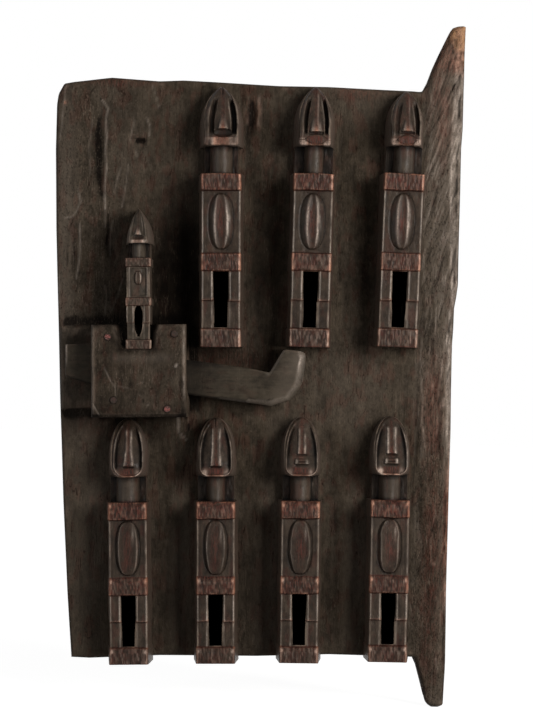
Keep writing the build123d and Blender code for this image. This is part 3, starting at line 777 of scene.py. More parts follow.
def joined(front, back):
    """Columns of the front, two on the right rim, those of the back, and two on the left rim."""
    rims = [[start + share * (end - start) for share in (0.33, 0.67)] for start, end in (
        (front[:, -1:], back[:, :1]), (back[:, -1:], front[:, :1]))]
    return np.hstack([front, *rims[0], back, *rims[1]])


def door_plank(sizes, material):
    """Plank as a tube of level rows: the relief of the front, rounded rims, horns that thin towards
    their tips, and a plain back of every fourth column."""
    half = box_mm("door_plank")[1][1]
    x, z, inset, from_right = plank_grid(sizes.plank_cell / MM)
    thin_top, thin_bottom = (np.clip((z - start) / (end - start), 0, 1)
                             for start, end in (TAPER_TOP, TAPER_BOTTOM))
    thick = half - HORN_THIN[0] * thin_top - HORN_THIN[1] * thin_bottom
    horn = np.maximum(thin_top, thin_bottom)
    radius = sizes.plank_round / MM * (1 + 0.35 * uneven(x, z, 60, 60, 19))
    drop = roll(inset, radius + (0.75 * thick - radius) * horn)
    relief = plank_relief(x, z, sizes.hewn_depth / MM) * (1 - horn * 0.8)
    light, soot_and_shade = stile_looks(x, z, from_right)
    # each stroke adds a painted highlight on a raised lip and painted shade in a crease
    for stroke in STROKES:
        share = stroke_share(x, z, stroke)
        relief -= 0.8 * stroke.depth * share
        light += 0.85 * stroke.light * share
        soot_and_shade += stroke.soot_and_shade * share
    relief *= ease(0, 5, inset)
    proud, sunk = wear_of(relief - drop * 0.5, 3, 0.85)

    mottled = 0.5 + 0.5 * uneven(x, z, 2.2, 3.4, 22)
    tip = z + 1.1 * x + 9 * uneven(x, z, 5, 9, 21)
    pale = ease(712, 738, tip) * (0.25 + 0.75 * mottled)
    light += 0.25 * ease(690, 710, z) * mottled
    soot_and_shade += 0.7 * ease(690, 705, z) * (1 - mottled) ** 2 * (1 - ease(738, 750, tip))
    rough = 0.55 + 0.4 * (1 - ease(-400, -330, x)) * ease(360, 420, z)
    rough += 0.65 * ease(STILE_LEFT - 5, STILE_LEFT + 5, x)

    behind = np.arange(0, x.shape[1], BACK_FOLD)[::-1]
    x_back, z_back = x[:, behind], z[:, behind]
    hewn_back = 0.35 + 0.3 * uneven(x_back, z_back, 20, 70, 23)
    back = thick[:, behind] - roll(inset[:, behind], BACK_ROUND) - hewn_back
    sides = ((x, x_back), (drop - thick - relief, back), (z, z_back))
    points = np.stack([joined(*pair) for pair in sides], axis=-1)
    rows, columns = points.shape[:2]
    # light: painted highlights on the stile and strokes, with the stile's worn pale edge; the shade
    # share: painted shade from the patches, strokes and stile
    fields = {"proud": (0.7 * proud, 0.15), "sunk": (sunk, 0), "pale": (pale, pale[:, -1:]),
              "shade_and_soot_share": (np.maximum(laid(PAINTED_SHADE_PATCHES, x, z), np.clip(soot_and_shade, 0, 1)), 0),
              "dust_and_painted_light": (laid(DUST_AND_LIGHT_PATCHES, x, z), 0), "light": (np.clip(light, 0, 1), 0),
              "rub": (np.maximum(laid(RED, x, z), 0.8 * ease(684, 706, z)), 0), "rough": (rough, 0.6)}
    shares = {key: np.hstack([field, np.broadcast_to(rest, (rows, columns - x.shape[1]))])
              for key, (field, rest) in fields.items()}
    faces = [tube_faces(rows, columns)[0], *plank_ends(rows, columns, x.shape[1], len(behind))]
    piece = make_piece("door_plank_wood", points.reshape(-1, 3), faces, material, shares)
    dress(piece, "plank_wood", "door_plank")


def plank_ends(rows, columns, front_count, back_count):
    """Faces that close the plank's bottom and top: each joins four front edges to one back edge."""
    start = np.arange(back_count - 1)
    front = start[:, None] * BACK_FOLD + np.arange(BACK_FOLD + 1)[None, :]
    back_first = front_count + 2
    back = back_first + (back_count - 1 - start)[:, None] + np.array([[-1, 0]])
    ring = np.hstack([front, back])
    ring_left = np.array([[0, back_first + back_count - 1, back_first + back_count,
                           back_first + back_count + 1]])
    ring_right = np.array([[front_count - 1, front_count, front_count + 1, back_first]])
    last = (rows - 1) * columns
    return [ring[:, ::-1], ring_left, ring_right[:, ::-1],
            ring + last, ring_left[:, ::-1] + last, ring_right + last]


# ---- ancestors ----


class Face(NamedTuple):
    """Carving of a face: kind (0 hooded with side slots, 1 rimmed oval), nose half widths at its foot
    and top, height of its foot, hollow depths left and right, mouth kind (0 hollow, 1 plate, 2 line,
    3 muzzle), sideways shift, and strengths of the crest's crease and of the painted highlights."""

    kind: int
    nose_low: float
    nose_high: float
    nose_foot: float
    hollow_left: float
    hollow_right: float
    mouth: int
    turn: float
    crease: float
    shine: float


class Ancestor(NamedTuple):
    """Heights of an ancestor's parts from the feet up, its widths and its relief, in millimetres."""

    feet: float
    calves: float
    thighs: float
    hips: float
    torso: float
    shoulders: float
    neck: float
    head: float
    half: float
    flare: float
    slot_half: float
    slot_foot: float
    slot_lens: float
    belly_half: float
    belly_tall: float
    belly_rise: float
    belly_ridge: float
    nape_half: float
    neck_half: float
    hood_half: float
    face_half: float
    cheek: float
    dome: float
    chin: float
    chin_corner: float
    frame_half: float
    depth: float
    nape_depth: float
    crest_depth: float
    neck_setback: float
    relief: float
    calf_relief: float
    bar_slope: float
    redness: float
    face: Face


HEAD = 67                         # height of the head that a hooded face's measures are for
NOSE_TALL = 17
BODY_HALF = 22                    # half width of the body that the other measures are for

TOP = Ancestor(
    feet=20, calves=30.5, thighs=33, hips=19.2, torso=68.6, shoulders=18.7, neck=30.4, head=66.9,
    half=22, flare=3.5, slot_half=8.2, slot_foot=1.5, slot_lens=0, belly_half=12.4, belly_tall=30.6,
    belly_rise=0.5, belly_ridge=7.2, nape_half=20, neck_half=11.5, hood_half=23.5, face_half=17,
    cheek=22, dome=0.45, chin=15, chin_corner=3, frame_half=0, depth=42, nape_depth=13,
    crest_depth=17, neck_setback=9, relief=5, calf_relief=2.2, bar_slope=0, redness=1,
    face=Face(0, 6.6, 3.4, 14, 6, 9, 1, 0.8, 0.4, 0.8))
BOTTOM = TOP._replace(
    feet=17.6, calves=28.2, thighs=30, hips=18.6, torso=63.7, neck=27.4, head=64, half=21.3,
    slot_half=7.8, belly_half=11.8, belly_tall=29.6, belly_ridge=9.6, hood_half=22.4, face_half=18.4,
    cheek=21, dome=1, nape_half=19.5, chin_corner=10.5, bar_slope=3.4,
    face=Face(1, 5.6, 3.8, 12.5, 3.4, 3.4, 2, 0, 0.3, 0.8))
LOCK = Ancestor(
    feet=9.8, calves=18.2, thighs=19, hips=8.6, torso=33.9, shoulders=9.5, neck=16, head=39,
    half=14, flare=0, slot_half=4.9, slot_foot=5.5, slot_lens=0.62, belly_half=4.2, belly_tall=7,
    belly_rise=4.5, belly_ridge=2.2, nape_half=11.5, neck_half=7.6, hood_half=15.6, face_half=10.4,
    cheek=1, dome=0, chin=6, chin_corner=1.2, frame_half=8.6, depth=52, nape_depth=24,
    crest_depth=27, neck_setback=5, relief=2.6, calf_relief=1.2, bar_slope=0, redness=0.50,
    face=Face(0, 3.8, 1, 8.8, 1.2, 1.2, 0, 0, 1, 1.3))
ANCESTORS = {
    "ancestor_top_1": (TOP._replace(
        hood_half=24.6, nape_half=18, neck_half=12.6, belly_ridge=6.4, face_half=18.6,
        face=Face(0, 5.4, 1.8, 18, 6.5, 10, 0, 2, 1, 1)), -1.9),
    "ancestor_top_2": (TOP._replace(
        neck_half=10.8, nape_half=21, belly_ridge=5.2,
        face=Face(0, 6.4, 4.2, 15, 6, 9, 1, 1.4, 0.4, 0.9)), -0.4),
    "ancestor_top_3": (TOP._replace(
        head=62, hood_half=22, face_half=16.4, neck_half=11.8, belly_ridge=5.4,
        face=Face(0, 6, 2.4, 15.5, 3.5, 7, 1, 1.4, 0.2, 0.8)), 0.4),
    "ancestor_bottom_1": (BOTTOM._replace(
        neck_half=13, chin_corner=14, face_half=17.2,
        face=Face(1, 5.8, 3.2, 12.5, 3.4, 3.4, 2, 1.6, 0.3, 1)), -2.6),
    "ancestor_bottom_2": (BOTTOM._replace(
        neck_half=10.5, face=Face(1, 5.8, 4.6, 12, 3.4, 3, 2, 0.2, 1, 1)), -2),
    "ancestor_bottom_3": (BOTTOM._replace(
        face=Face(1, 4.1, 3.9, 24.5, 5, 2.6, 3, 0.6, 0.2, 0.7)), -1.3),
    "ancestor_bottom_4": (BOTTOM._replace(
        neck_half=12, face=Face(1, 5, 4.8, 24, 3, 2.6, 3, 0.3, 0.2, 1.6)), -0.9),
}


class Levels(NamedTuple):
    """Heights over the feet at which an ancestor's parts end, in millimetres."""

    foot: float
    knee: float
    leg_top: float
    hip_top: float
    torso_top: float
    shoulder_top: float
    chin: float
    crest: float


def levels_of(a):
    """Running sum of the heights of an ancestor's parts."""
    return Levels(*np.cumsum(a[:8]).tolist())


def outline(a, half, t):
    """Half width of a head at a height over its chin: half up to the cheeks, then a mix of the
    pointed arch that meets its mirror at the crest and of a round dome."""
    rise = a.head - a.cheek
    above = np.clip(t - a.cheek, 0, rise)
    radius = (half ** 2 + rise ** 2) / (2 * half)
    arch = np.sqrt(radius ** 2 - above ** 2) - (radius - half)
    dome = half * np.sqrt(np.clip(1 - (above / rise) ** 2, 0, 1))
    return np.maximum(arch + (dome - arch) * a.dome, 0.35)


def chin_cut(a, t):
    """How far the face's outline is drawn in by its rounded chin corners at a height over the chin."""
    return a.chin_corner * rounded_off(1 - t / a.chin_corner)


def face_inset(a, x, t):
    """Distance in from the face's outline: its sides, by their slope, and the chin's round corners."""
    half = outline(a, a.face_half, t)
    slope = outline(a, a.face_half, t + 0.5) - outline(a, a.face_half, t - 0.5)
    side = (half - np.abs(x)) / np.hypot(1, slope)
    away = np.clip(np.abs(x) - (a.face_half - a.chin_corner), 0, None)
    corner = a.chin_corner - np.hypot(away, np.clip(a.chin_corner - t, 0, None))
    low = np.where(t < a.chin_corner, np.where(away > 0, corner, t), 1e3)
    return np.minimum(side, low)


def face_slope(a, t):
    """Depth of the face's plane: upright over the chin, then leaning back to the crest."""
    lean = np.clip((t - a.chin) / (a.head - a.chin), 0, 1)
    return a.depth - (a.depth - a.crest_depth) * lean ** 1.12


def hooded_face(a, x, t):
    """Broad nose block between two deep side slots, a nose wedge at its foot, and a mouth: a
    half-round hollow over a chin band, or a lens-shaped plate between bright chin corners. Worked out
    in units in which the head is HEAD tall.

    Returns the relief, the painted highlights, some only on the right, and the painted shade in the
    side slots, under the nose and in the mouth."""
    face, s = a.face, a.head / HEAD
    x, t, foot = (x - face.turn) / s, t / s, face.nose_foot / s
    reach, right, share = np.abs(x), x > 0, t / HEAD
    block = np.interp(share, (0.15, 0.45, 0.8, 1), (9.6, 9, 5.6, 1.5))
    outer = outline(a, a.face_half, t * s) / s - np.interp(share, (0.2, 0.5, 0.9), (3.6, 3, 1))
    middle, half = (block + outer) / 2, np.maximum((outer - block) / 2, 0.5)
    across = np.clip(1 - ((reach - middle) / half) ** 2, 0, 1) ** 0.5
    slot = across * ease(0.16, 0.24, share) * (1 - ease(0.68, 0.86, share))
    depth = -slot * np.where(right, face.hollow_right, face.hollow_left)
    dark = 1.1 * slot * np.where(right, 1, 0.75) * min(1, face.hollow_left / 5)
    light = 0.42 * bell(reach - block + 0.6, 0.7) * band(0.35, 0.75, 0.1, share) * right
    light += 0.22 * bell(reach - outer - 1.2, 0.9) * (1 - ease(0.7, 0.85, share))

    up = np.clip((t - foot) / NOSE_TALL, 0, 1)
    nose_half = (face.nose_low + (face.nose_high - face.nose_low) * up) / s
    over = ease(foot - 0.7, foot + 0.7, t)
    nose = (1 - ease(nose_half - 1.1, nose_half + 0.9, reach)) * over
    ridge = bell(x - 1.5, 1) * band(foot + 6, 0.86 * HEAD, 6, t)
    block += 0.5 / s
    depth += nose * 3.4 * (1 - up) ** 0.8 + 0.8 * ridge
    depth -= rounded_off(reach / block) * over * (reach < block)
    light += 0.85 * nose * (1 - up) ** 1.6 + 0.45 * ridge * (face.mouth == 1)
    if face.mouth == 0:
        bowl = np.clip(1 - (reach / 11) ** 2 - ((t - foot + 4.2) / 5.2) ** 2, 0, 1)
        below = band(-1, foot - 9.3, 1.2, t)
        chin = below * (1 - ease(13, 16, reach))
        depth += (2.4 - 0.3 * t) * chin - 5 * bowl ** 0.6
        light += 0.25 * below * ease(13, 16, reach)
        light += chin * (0.38 + 0.85 * bell(x - 9.5, 3) + 0.65 * bell(x + 10, 2.6))
        return depth * s, light, dark + 0.7 * bowl ** 0.4

    under = band(foot - 3, foot - 0.3, 1.2, t) * (1 - ease(6.5, 9.5, reach))
    lens = np.abs(t - 6.2) / (5.4 * np.clip(1 - (reach / 12.5) ** 2, 0.04, 1))
    low = (1 - ease(6, 9, t)) * ease(0.95, 1.15, lens)
    depth += 0.9 * (1 - ease(0.75, 1, lens)) + (1.6 - 0.3 * t) * low - 2.6 * under
    depth -= 0.9 * bell(lens - 1.15, 0.12) * (t < 14.5)
    above = bell(lens - 1.12, 0.14) * (t > 6) * (t < 14.5)
    light += 1.15 * low * ease(7.5, 10, reach) * np.where(right, 1, 0.7)
    light += 0.3 * bell(lens - 0.95, 0.1) * (t > 6)
    return depth * s, light, dark + 0.6 * under + 0.55 * above


def rimmed_face(a, x, t, inset):
    """Oval face inside a thin rim that fades towards the crown: cheeks that fall from a nose with two
    ridges to the rim, and under the nose a cut line over a chin crescent, or a muzzle with two lips.

    Returns the relief, the painted highlights on the rim, the nose ridges, the lips and the chin
    corners, brighter on the right, and the painted shade inside the rim, on the cheeks and under the
    nose."""
    face, foot, share = a.face, a.face.nose_foot, t / a.head
    side, right = np.abs(x), x > face.turn
    reach = np.abs(x - face.turn)
    fade = 1 - ease(0.66, 0.84, share)
    opening = np.maximum(outline(a, a.face_half, t) - 2.6, 1)
    up = np.clip((t - foot) / (0.84 * a.head - foot), 0, 1)
    flare = np.clip(1 - 1.9 * up, 0, 1) ** 1.5
    nose_half = face.nose_high + (face.nose_low - face.nose_high) * flare
    fall = np.clip((reach - nose_half) / np.maximum(opening - nose_half, 1), 0, 1)
    hollow = np.where(right, face.hollow_right, face.hollow_left) * fall ** 1.3
    over = ease(foot - 5, foot + 1, t)
    inside = ease(1.8, 3.2, inset) * (1 - ease(0.8, 0.94, share))
    nose = ease(foot - 0.7, foot + 0.7, t) * inside
    below_crown = nose * (1 - ease(0.88, 1, up))
    depth = 0.8 * bell(inset - 1.4, 0.75) * fade - inside * ((1 + hollow) * over + 1.6 * (1 - over))
    depth += (1 - ease(nose_half - 0.3, nose_half + 0.9, reach)) * nose * (0.9 + 1.2 * (1 - up))
    depth += 0.9 * bell(reach - nose_half + 0.8, 1) * below_crown
    depth -= 0.7 * bell(reach, 0.5 * nose_half) * nose

    corners = 0.7 * bell(side - 10, 5) * (1 - ease(6, 16, t))
    light = 0.9 * bell(side - 11.5, 2.6) * bell(t - 4.5, 3.5)
    light += bell(inset - 1.4, 0.6) * fade * (np.where(x > 0, 0.7, 0.52) + corners)
    ridges = bell(reach - nose_half + 0.7, 1.5) * (0.75 + 0.45 * uneven(x - face.turn, t, 1.5, 3.5, 83))
    light += ridges * below_crown * np.where(right, 1.3, 1.1) * (0.8 + 0.5 * flare)
    dark = 0.95 * bell(inset - 3.6, 1.6) * fade * ease(6, 14, t)
    dark += 0.6 * inside * over * fall ** 1.3 * fade
    under = bell(t - foot + 1.3, 0.9) * (1 - ease(5, 7, reach))
    depth -= 1.4 * under
    if face.mouth == 2:
        return depth, light, dark + 0.8 * under

    half = 7.6 - 0.12 * (t - foot + 11)
    lips = band(foot - 11, foot - 5.5, 1.2, t) * (1 - ease(half - 0.8, half + 0.8, reach))
    parting = bell(t - foot + 8.6, 0.7) * (1 - ease(3.6, 5, reach))
    foot_line = bell(t - foot + 12.2, 0.9) * (1 - ease(6, 9, reach))
    depth += 2 * lips - parting - 0.9 * foot_line
    light += 0.9 * lips * bell(reach - 6, 1.5) * np.where(right, 1.1, 0.8)
    return depth, light, dark + 0.5 * under + 0.6 * parting + 0.6 * foot_line


def head_depth(a, x, t):
    """Front of the head before its seat, its painted highlights and its painted shade, which also
    darkens
    the crease: leaning plane with the face cut in it, a crease at the crest and rolled edges."""
    face, s = a.face, a.head / HEAD
    inset = face_inset(a, x - face.turn * face.kind, t)
    carved, light, dark = rimmed_face(a, x, t, inset) if face.kind else hooded_face(a, x, t)
    crest = ease(0.72, 0.97, t / a.head)
    crease = bell(x - face.turn + 0.8 * s, 0.8 * s) * ease(0.78, 0.9, t / a.head) * face.crease
    radius = (2.2 if face.kind else 3.2) * s
    depth = face_slope(a, t) + carved * (1 - crest) - 0.22 * np.abs(x) * crest - 1.4 * s * crease
    depth -= 0.9 * radius * rounded_off(1 - inset / radius)
    return depth, light * face.shine, dark + 0.9 * crease


def belly_relief(a, x, up, seed):
    """Barrel-shaped belly over a sunk panel, with two upright ridges round a shallow strip, or with
    bevelled sides when the face is rimmed, and a fine groove round it.

    Returns the relief, the painted highlights on its ridges and, when the face is rimmed, a spot at its
    upper right, and the painted shade in its groove, on its flanks and down its middle."""
    s = a.half / BODY_HALF
    up = up - a.belly_rise
    tall = np.clip(1 - np.abs(up / a.belly_tall) ** 2.5, 0, 1) ** 0.5
    reach = np.abs(x) / np.maximum(a.belly_half * tall ** 0.8, 0.4)
    ridge = a.belly_ridge / a.belly_half * (1 + 0.12 * uneven(x * 0, up, 1, 11, seed + 8))
    rise = (a.relief - 0.3) * tall ** 0.5 * (tall > 0.02)
    fall = np.clip(1 - np.clip((reach - ridge) / (1 - ridge), 0, 1) ** 1.2, 0, 1)
    strip = 1 - (0.1 if a.face.kind else 0.24) * np.clip(1 - (reach / ridge) ** 2, 0, 1)
    roof = np.where(reach < ridge, strip, 0.08 + 0.92 * fall)
    groove = bell(reach - 1.1, 0.07) * (np.abs(up) < a.belly_tall)
    groove += 0.6 * bell(np.abs(up) - a.belly_tall, 1.2 * s) * (np.abs(x) < 0.6 * a.belly_half)
    patches = 0.5 + 0.5 * uneven(x, up, 1.7 * s, 8 * s, seed + 12)
    if a.face.kind:
        spot = bell(x - 0.5 * a.belly_half, 1.3 * s) * bell(up - 0.55 * a.belly_tall, 8 * s)
        shine = 0.42 * bell(reach - ridge, 0.07) + 0.75 * spot
    else:
        shine = bell(reach - ridge - 0.03, 0.09) * np.where(x > 0, 1.2, 1.15)
        shine += 0.55 * (x > 0) * bell(reach - ridge - 0.2, 0.13) * patches
    flank = (0.28 - 0.12 * a.face.kind) * band(ridge + 0.22, 1, 0.1, reach)
    dark = 0.55 * groove + (flank + 0.14 * bell(reach, 0.8 * ridge)) * (tall > 0)
    shine *= tall ** 2 * (0.25 + 0.85 * patches)
    return np.where(reach < 1, roof * rise, 0) - 0.8 * s * groove, shine, dark


def carved_bars(a, at, x, z, up, broken, seed):
    """Raised bars of the feet, hips and shoulders over the plain body: crowned, rolled off at their
    ends, hatched with upright cuts and worn along their lips.

    Returns the relief, the lights (painted highlights at the bars' ends, brighter on the right, and at
    the top corners of sloped bars, with worn lights along the hatch), the painted shade along their
    lips and in the hatch's gaps, and the shares of bars and of lips."""
    s, reach = a.half / BODY_HALF, np.abs(x)
    bars, crown, slope, lips, tops = (np.zeros_like(x) for _ in range(5))
    for low, high in ((0, a.feet), (at.leg_top, at.hip_top), (at.torso_top, at.shoulder_top)):
        inside = band(low if low else -5, high, 1.5 * s, up)
        bars += inside
        crown += inside * rounded_off(np.abs(up - (low + high) / 2) / ((high - low) / 2))
        slope += inside * np.clip((up - high + 5.5 * s) / (5.5 * s), 0, 1) * a.bar_slope
        lips += bell(up - high, 0.8 * s) + bell(up - low, 0.8 * s)
        tops += bell(up - high + 4 * s, 1.8 * s)
    hatch = uneven(x + 0.06 * z, z, 1.25 * s, 4.5 * s, seed + 1)
    hatch, gaps = np.clip(hatch, 0, 1) ** 0.7, np.clip(-hatch, 0, 1) ** 0.7
    bar_corner = rounded_off((reach - a.half) / (2.6 * s) + 1)
    plain_corner = rounded_off((reach - a.half) / (1.7 * s) + 1)
    depth = bars * a.relief - 0.9 * s * crown - slope - 0.5 * s * gaps * bars
    depth -= 2.2 * s * bar_corner * bars + 1.5 * s * plain_corner * (1 - bars)
    ends = bell(reach - a.half + 1.7 * s, 0.9 * s) * bars * (1 - np.clip(lips, 0, 1))
    beside_ends = bell(reach - a.half + 4 * s, 2.4 * s) * bars
    light = (1.45 - 0.8 * a.face.kind) * a.redness * ends * broken * np.where(x > 0, 1, 0.75)
    light += (0.3 + 0.1 * beside_ends) * bars * hatch * broken
    light += 0.9 * a.face.kind * tops * bell(reach - a.half + 2.8 * s, 1.3 * s)
    dark = 0.45 * np.clip(lips, 0, 1) * (1 - 0.5 * ease(a.half - 3 * s, a.half, reach))
    dark += 0.5 * bars * gaps * (1 - 0.6 * beside_ends)
    return depth, light, dark, bars, lips


def carved_legs(a, at, x, up, broken):
    """Legs beside the slot: thighs that stand before the shins, with rolled edges and a raised line
    along each that carries a painted highlight, stronger on the edges that face right, and a knee line
    where they meet.

    Returns the relief, the painted highlights and the knee line."""
    s, reach = a.half / BODY_HALF, np.abs(x)
    shin, thigh = band(a.feet, at.knee, 1.5 * s, up), band(at.knee, at.leg_top, 1.5 * s, up)
    middle, half = (a.half + a.slot_half) / 2, (a.half - a.slot_half) / 2
    off = np.abs(reach - middle) - half
    edge = rounded_off(off / (2.2 * s) + 1)
    line = bell(off + 1.7 * s, 0.75 * s)
    knee_line = bell(up + 0.08 * reach - at.knee - 1.5 * s, 1.6 * s)
    depth = thigh * (1.4 - 1.7 * edge + 0.6 * line) * s - a.calf_relief * shin + 0.9 * s * knee_line
    facing = 0.5 + 0.5 * ((x > 0) == (reach > middle))
    light = 1.05 * thigh * (0.4 + 0.6 * broken) * (0.4 + 0.6 * a.redness) + 0.6 * shin * broken
    return depth, light * line * facing + 0.16 * knee_line * broken, knee_line


def carved_torso(a, at, x, up, from_middle, broken, seed):
    """Sunk panel of the torso with its belly, a raised rail down each side with a painted highlight,
    brighter on the right, and a frame where the ancestor has one.

    Returns the relief, the painted highlights and the painted shade."""
    s, reach = a.half / BODY_HALF, np.abs(x)
    torso = band(at.hip_top, at.torso_top, 1.5 * s, up)
    belly, shine, groove = belly_relief(a, x, from_middle, seed)
    rail = bell(reach - a.half + 1.5 * s, 0.75 * s)
    rail_light = (0.95 - 0.4 * a.face.kind) * broken * np.where(x > 0, 1, 0.5)
    depth = torso * (belly + 0.6 * s * rail)
    light = torso * (shine * min(a.face.shine, 1) + rail_light * rail)
    dark = torso * (groove + 0.5 * a.face.kind * bell(reach - a.half + 4.4 * s, 0.9 * s))
    if a.frame_half:
        framed = band(at.hip_top + 2.5, at.torso_top - 2, 1.2, up)
        panel = framed * (1 - ease(a.frame_half - 0.6, a.frame_half + 0.6, reach))
        depth -= 1.5 * panel * (1 - 0.6 * bell(x, a.belly_half))
        light += 0.35 * torso * bell(reach - a.frame_half - 1, 0.7)
        dark += 0.5 * framed * bell(reach - a.frame_half, 0.8)
    return depth, light, dark


def carved_neck(a, at, x, z, seed):
    """Round neck that stands before the rough nape and swells a little halfway up, with painted shade
    on the nape beside it and where it meets the shoulders and the chin.
    """
    s = a.half / BODY_HALF
    cuts = 0.5 * s * np.clip(uneven(x, z, 2.2 * s, 5 * s, seed + 3), -0.2, 1)
    swell = 0.8 * s * np.sin(np.clip((z - at.shoulder_top) / a.neck, 0, 1) * np.pi)
    rise = a.depth - a.neck_setback - a.nape_depth - swell
    column = rise * np.clip(1 - (x / a.neck_half) ** 2, 0, 1) ** 0.42
    beside = ease(a.neck_half - 1.5 * s, a.neck_half + 0.5 * s, np.abs(x))
    ends = bell(z - at.shoulder_top, 2 * s) + bell(z - at.chin, 4 * s)
    patches = 0.75 + 0.25 * uneven(x, z, 3 * s, 4.5 * s, seed + 9)
    dark = np.clip(0.85 * beside * patches + 0.6 * ends, 0, 1)
    return a.nape_depth - cuts * (column < 1) + column, dark


def rubbed_red(a, at, x, z, bars, lips, knees, from_middle, seed):
    """Share that hands have rubbed red-brown: bars, their lips, knees, and the middle of the belly,
    chin and nose."""
    s, t, foot, x_face = a.half / BODY_HALF, z - at.chin, a.face.nose_foot, x - a.face.turn
    patches = 0.5 + 0.5 * uneven(x, z, 7 * s, 6 * s, seed + 10)
    outward = ease(a.half - 6 * s, a.half - s, np.abs(x))
    higher = 0.45 + 0.35 * ease(at.leg_top - 5, at.leg_top, z)
    higher += 0.2 * ease(at.torso_top - 5, at.torso_top, z)
    rub = bars * (0.28 + 0.7 * patches + 0.5 * outward) * higher + 0.9 * lips
    rub += 0.5 * knees * (z < at.shoulder_top)
    rub += 0.7 * bell(x, 4.4 * s) * bell(from_middle, 0.3 * a.torso)
    chin = (0.7 if a.face.kind else 0.8) * band(0, 10 * s, 3, t)
    rub += chin * (1 - 0.7 * ease(7 * s, 10 * s, np.abs(x)))
    rub += 0.7 * bell(x_face, 3 * s) * bell(t - foot, 7)
    rub += 0.45 * bell(x_face, 2 * s) * band(foot, 0.95 * a.head, 6, t)
    return rub * a.redness


def ancestor_depth(a, x, z, seed):
    """Front of an ancestor before its seat, and shares of it: rubbed by hands, painted highlights,
    painted shade.
    """
    at, s = levels_of(a), a.half / BODY_HALF
    up = z + 0.55 * s * uneven(x, z, 13 * s, 22 * s, seed)
    from_middle = z - (at.hip_top + at.torso_top) / 2
    broken = 0.55 + 0.45 * uneven(x, z, 3 * s, 6 * s, seed + 11)
    bar_depth, bar_light, bar_dark, bars, lips = carved_bars(a, at, x, z, up, broken, seed)
    leg_depth, leg_light, knees = carved_legs(a, at, x, up, broken)
    torso_depth, torso_light, torso_dark = carved_torso(a, at, x, up, from_middle, broken, seed)
    neck_depth, neck_dark = carved_neck(a, at, x, z, seed)
    head, head_light, head_dark = head_depth(a, x, z - at.chin)

    parts = [z > at.chin, z >= at.shoulder_top]
    depth = a.depth - a.relief + bar_depth + leg_depth + torso_depth
    depth = np.select(parts, [head, neck_depth], depth)
    depth += 0.2 * s * uneven(x, z, 4.5 * s, 9 * s, seed + 4)
    light = np.select(parts, [head_light * broken, 0], bar_light + leg_light + torso_light)
    dark = np.select(parts, [head_dark, neck_dark], bar_dark + torso_dark)
    rub = rubbed_red(a, at, x, z, bars, lips, knees, from_middle, seed)
    return depth, {"rub": rub, "light": light, "shade_and_soot_share": dark}


def ancestor_halves(a, z, seed):
    """Half widths at the seat and at the front for each row, from the feet's block to the hood."""
    at, s = levels_of(a), a.half / BODY_HALF
    t = z - at.chin
    bars = sum(band(low, high, 2 * s, z) for low, high in (
        (-5, a.feet), (at.leg_top, at.hip_top), (at.torso_top, at.shoulder_top)))
    shin = band(a.feet, at.knee, 2 * s, z)
    body = a.half - (0.6 * (1 - bars) + 0.5 * shin) * s - (1 - bars) * bool(a.frame_half)
    wobble = 0.3 * s * uneven(z * 0, z, 1, 31, seed + 5)
    hood = outline(a, a.hood_half, t)
    face = np.maximum(outline(a, a.face_half, t) - chin_cut(a, t), 0.35)
    reach = np.clip(face_slope(a, t) / a.depth, 0, 1)
    parts = [t > 0, z >= at.shoulder_top]
    seat = np.select(parts, [hood, a.nape_half + 1], body + a.flare)
    front = np.select(parts, [face * reach + hood * (1 - reach), a.nape_half], body)
    return seat + wobble, front + wobble


def slot_edges(a, z, seed):
    """Half widths of the leg slot to the left and right as shares of the figure's half width: nearly
    straight, or drawn to a point at both ends by its lens share."""
    top, low = levels_of(a).leg_top, a.feet + a.slot_foot
    off_middle = (2 * z - top - low) / (top - low)
    lens = 1 - a.slot_lens * np.clip(np.abs(off_middle), 0, 1) ** 4
    widen = a.slot_half / a.half * (0.92 + 0.12 * ease(a.feet, top, z)) * lens
    return [widen * (1 + 0.07 * uneven(z * 0, z, 1, step, seed + shift))
            for step, shift in ((15, 2), (19, 7))]


WALL = np.array([[0, 0.3, 0.6, 0.85]])     # places on an ancestor's side wall, from seat to front
WALL_SHARES = {"rub": 0.1, "light": 0, "shade_and_soot_share": 0.1, "proud": 0.1, "sunk": 0.05, "dust_and_painted_light": 0.4,
               "rough": 0.35}
SLOT_FLOOR = 0.6                           # how far the floor of the leg slot stands before the back


def ancestor_shares(a, z, x, depth, shares):
    """All colour shares of an ancestor: those of its front, how far it stands before or behind its own
    mean, which paints shade in its hollows, the dust share on its neck column, which stands for a
    painted highlight there, and the even shares of its side walls, where the hood's walls get a painted
    highlight."""
    at, s = levels_of(a), a.half / BODY_HALF
    border = np.repeat(0.6 * np.minimum(depth[:, :1], depth[:, -1:]), 6, axis=1)
    padded = np.hstack([border, depth, border])
    proud, sunk = (field[:, 6:-6] for field in wear_of(padded, 2, 2.2 * s))
    broad = wear_of(padded, 8, 14 * s)[1][:, 6:-6]
    neck = band(at.shoulder_top + 3 * s, at.chin - 5 * s, 3 * s, z)
    shares = {key: np.clip(value, 0, 1) for key, value in shares.items()}
    shares["proud"] = proud * (1 - 0.9 * band(at.shoulder_top + 1, at.chin - 1, 1, z))
    # sunk: painted shade in the hollows
    shares["sunk"] = 0.7 * np.maximum(sunk, broad)
    # painted highlight on the neck column, laid in the dust colour
    shares["dust_and_painted_light"] = 0.35 * neck * ease(a.neck_half, a.neck_half - 4 * s, np.abs(x))
    shares["rough"] = np.full_like(depth, 0.5)
    for key, rest in WALL_SHARES.items():
        # the hood's side walls get a painted highlight, more towards the front
        if key == "light":
            rest = 0.16 * WALL * (z > at.chin)
        beside = np.broadcast_to(rest, (len(z), WALL.size))
        shares[key] = np.hstack([beside, shares[key], beside[:, ::-1]])
    return shares


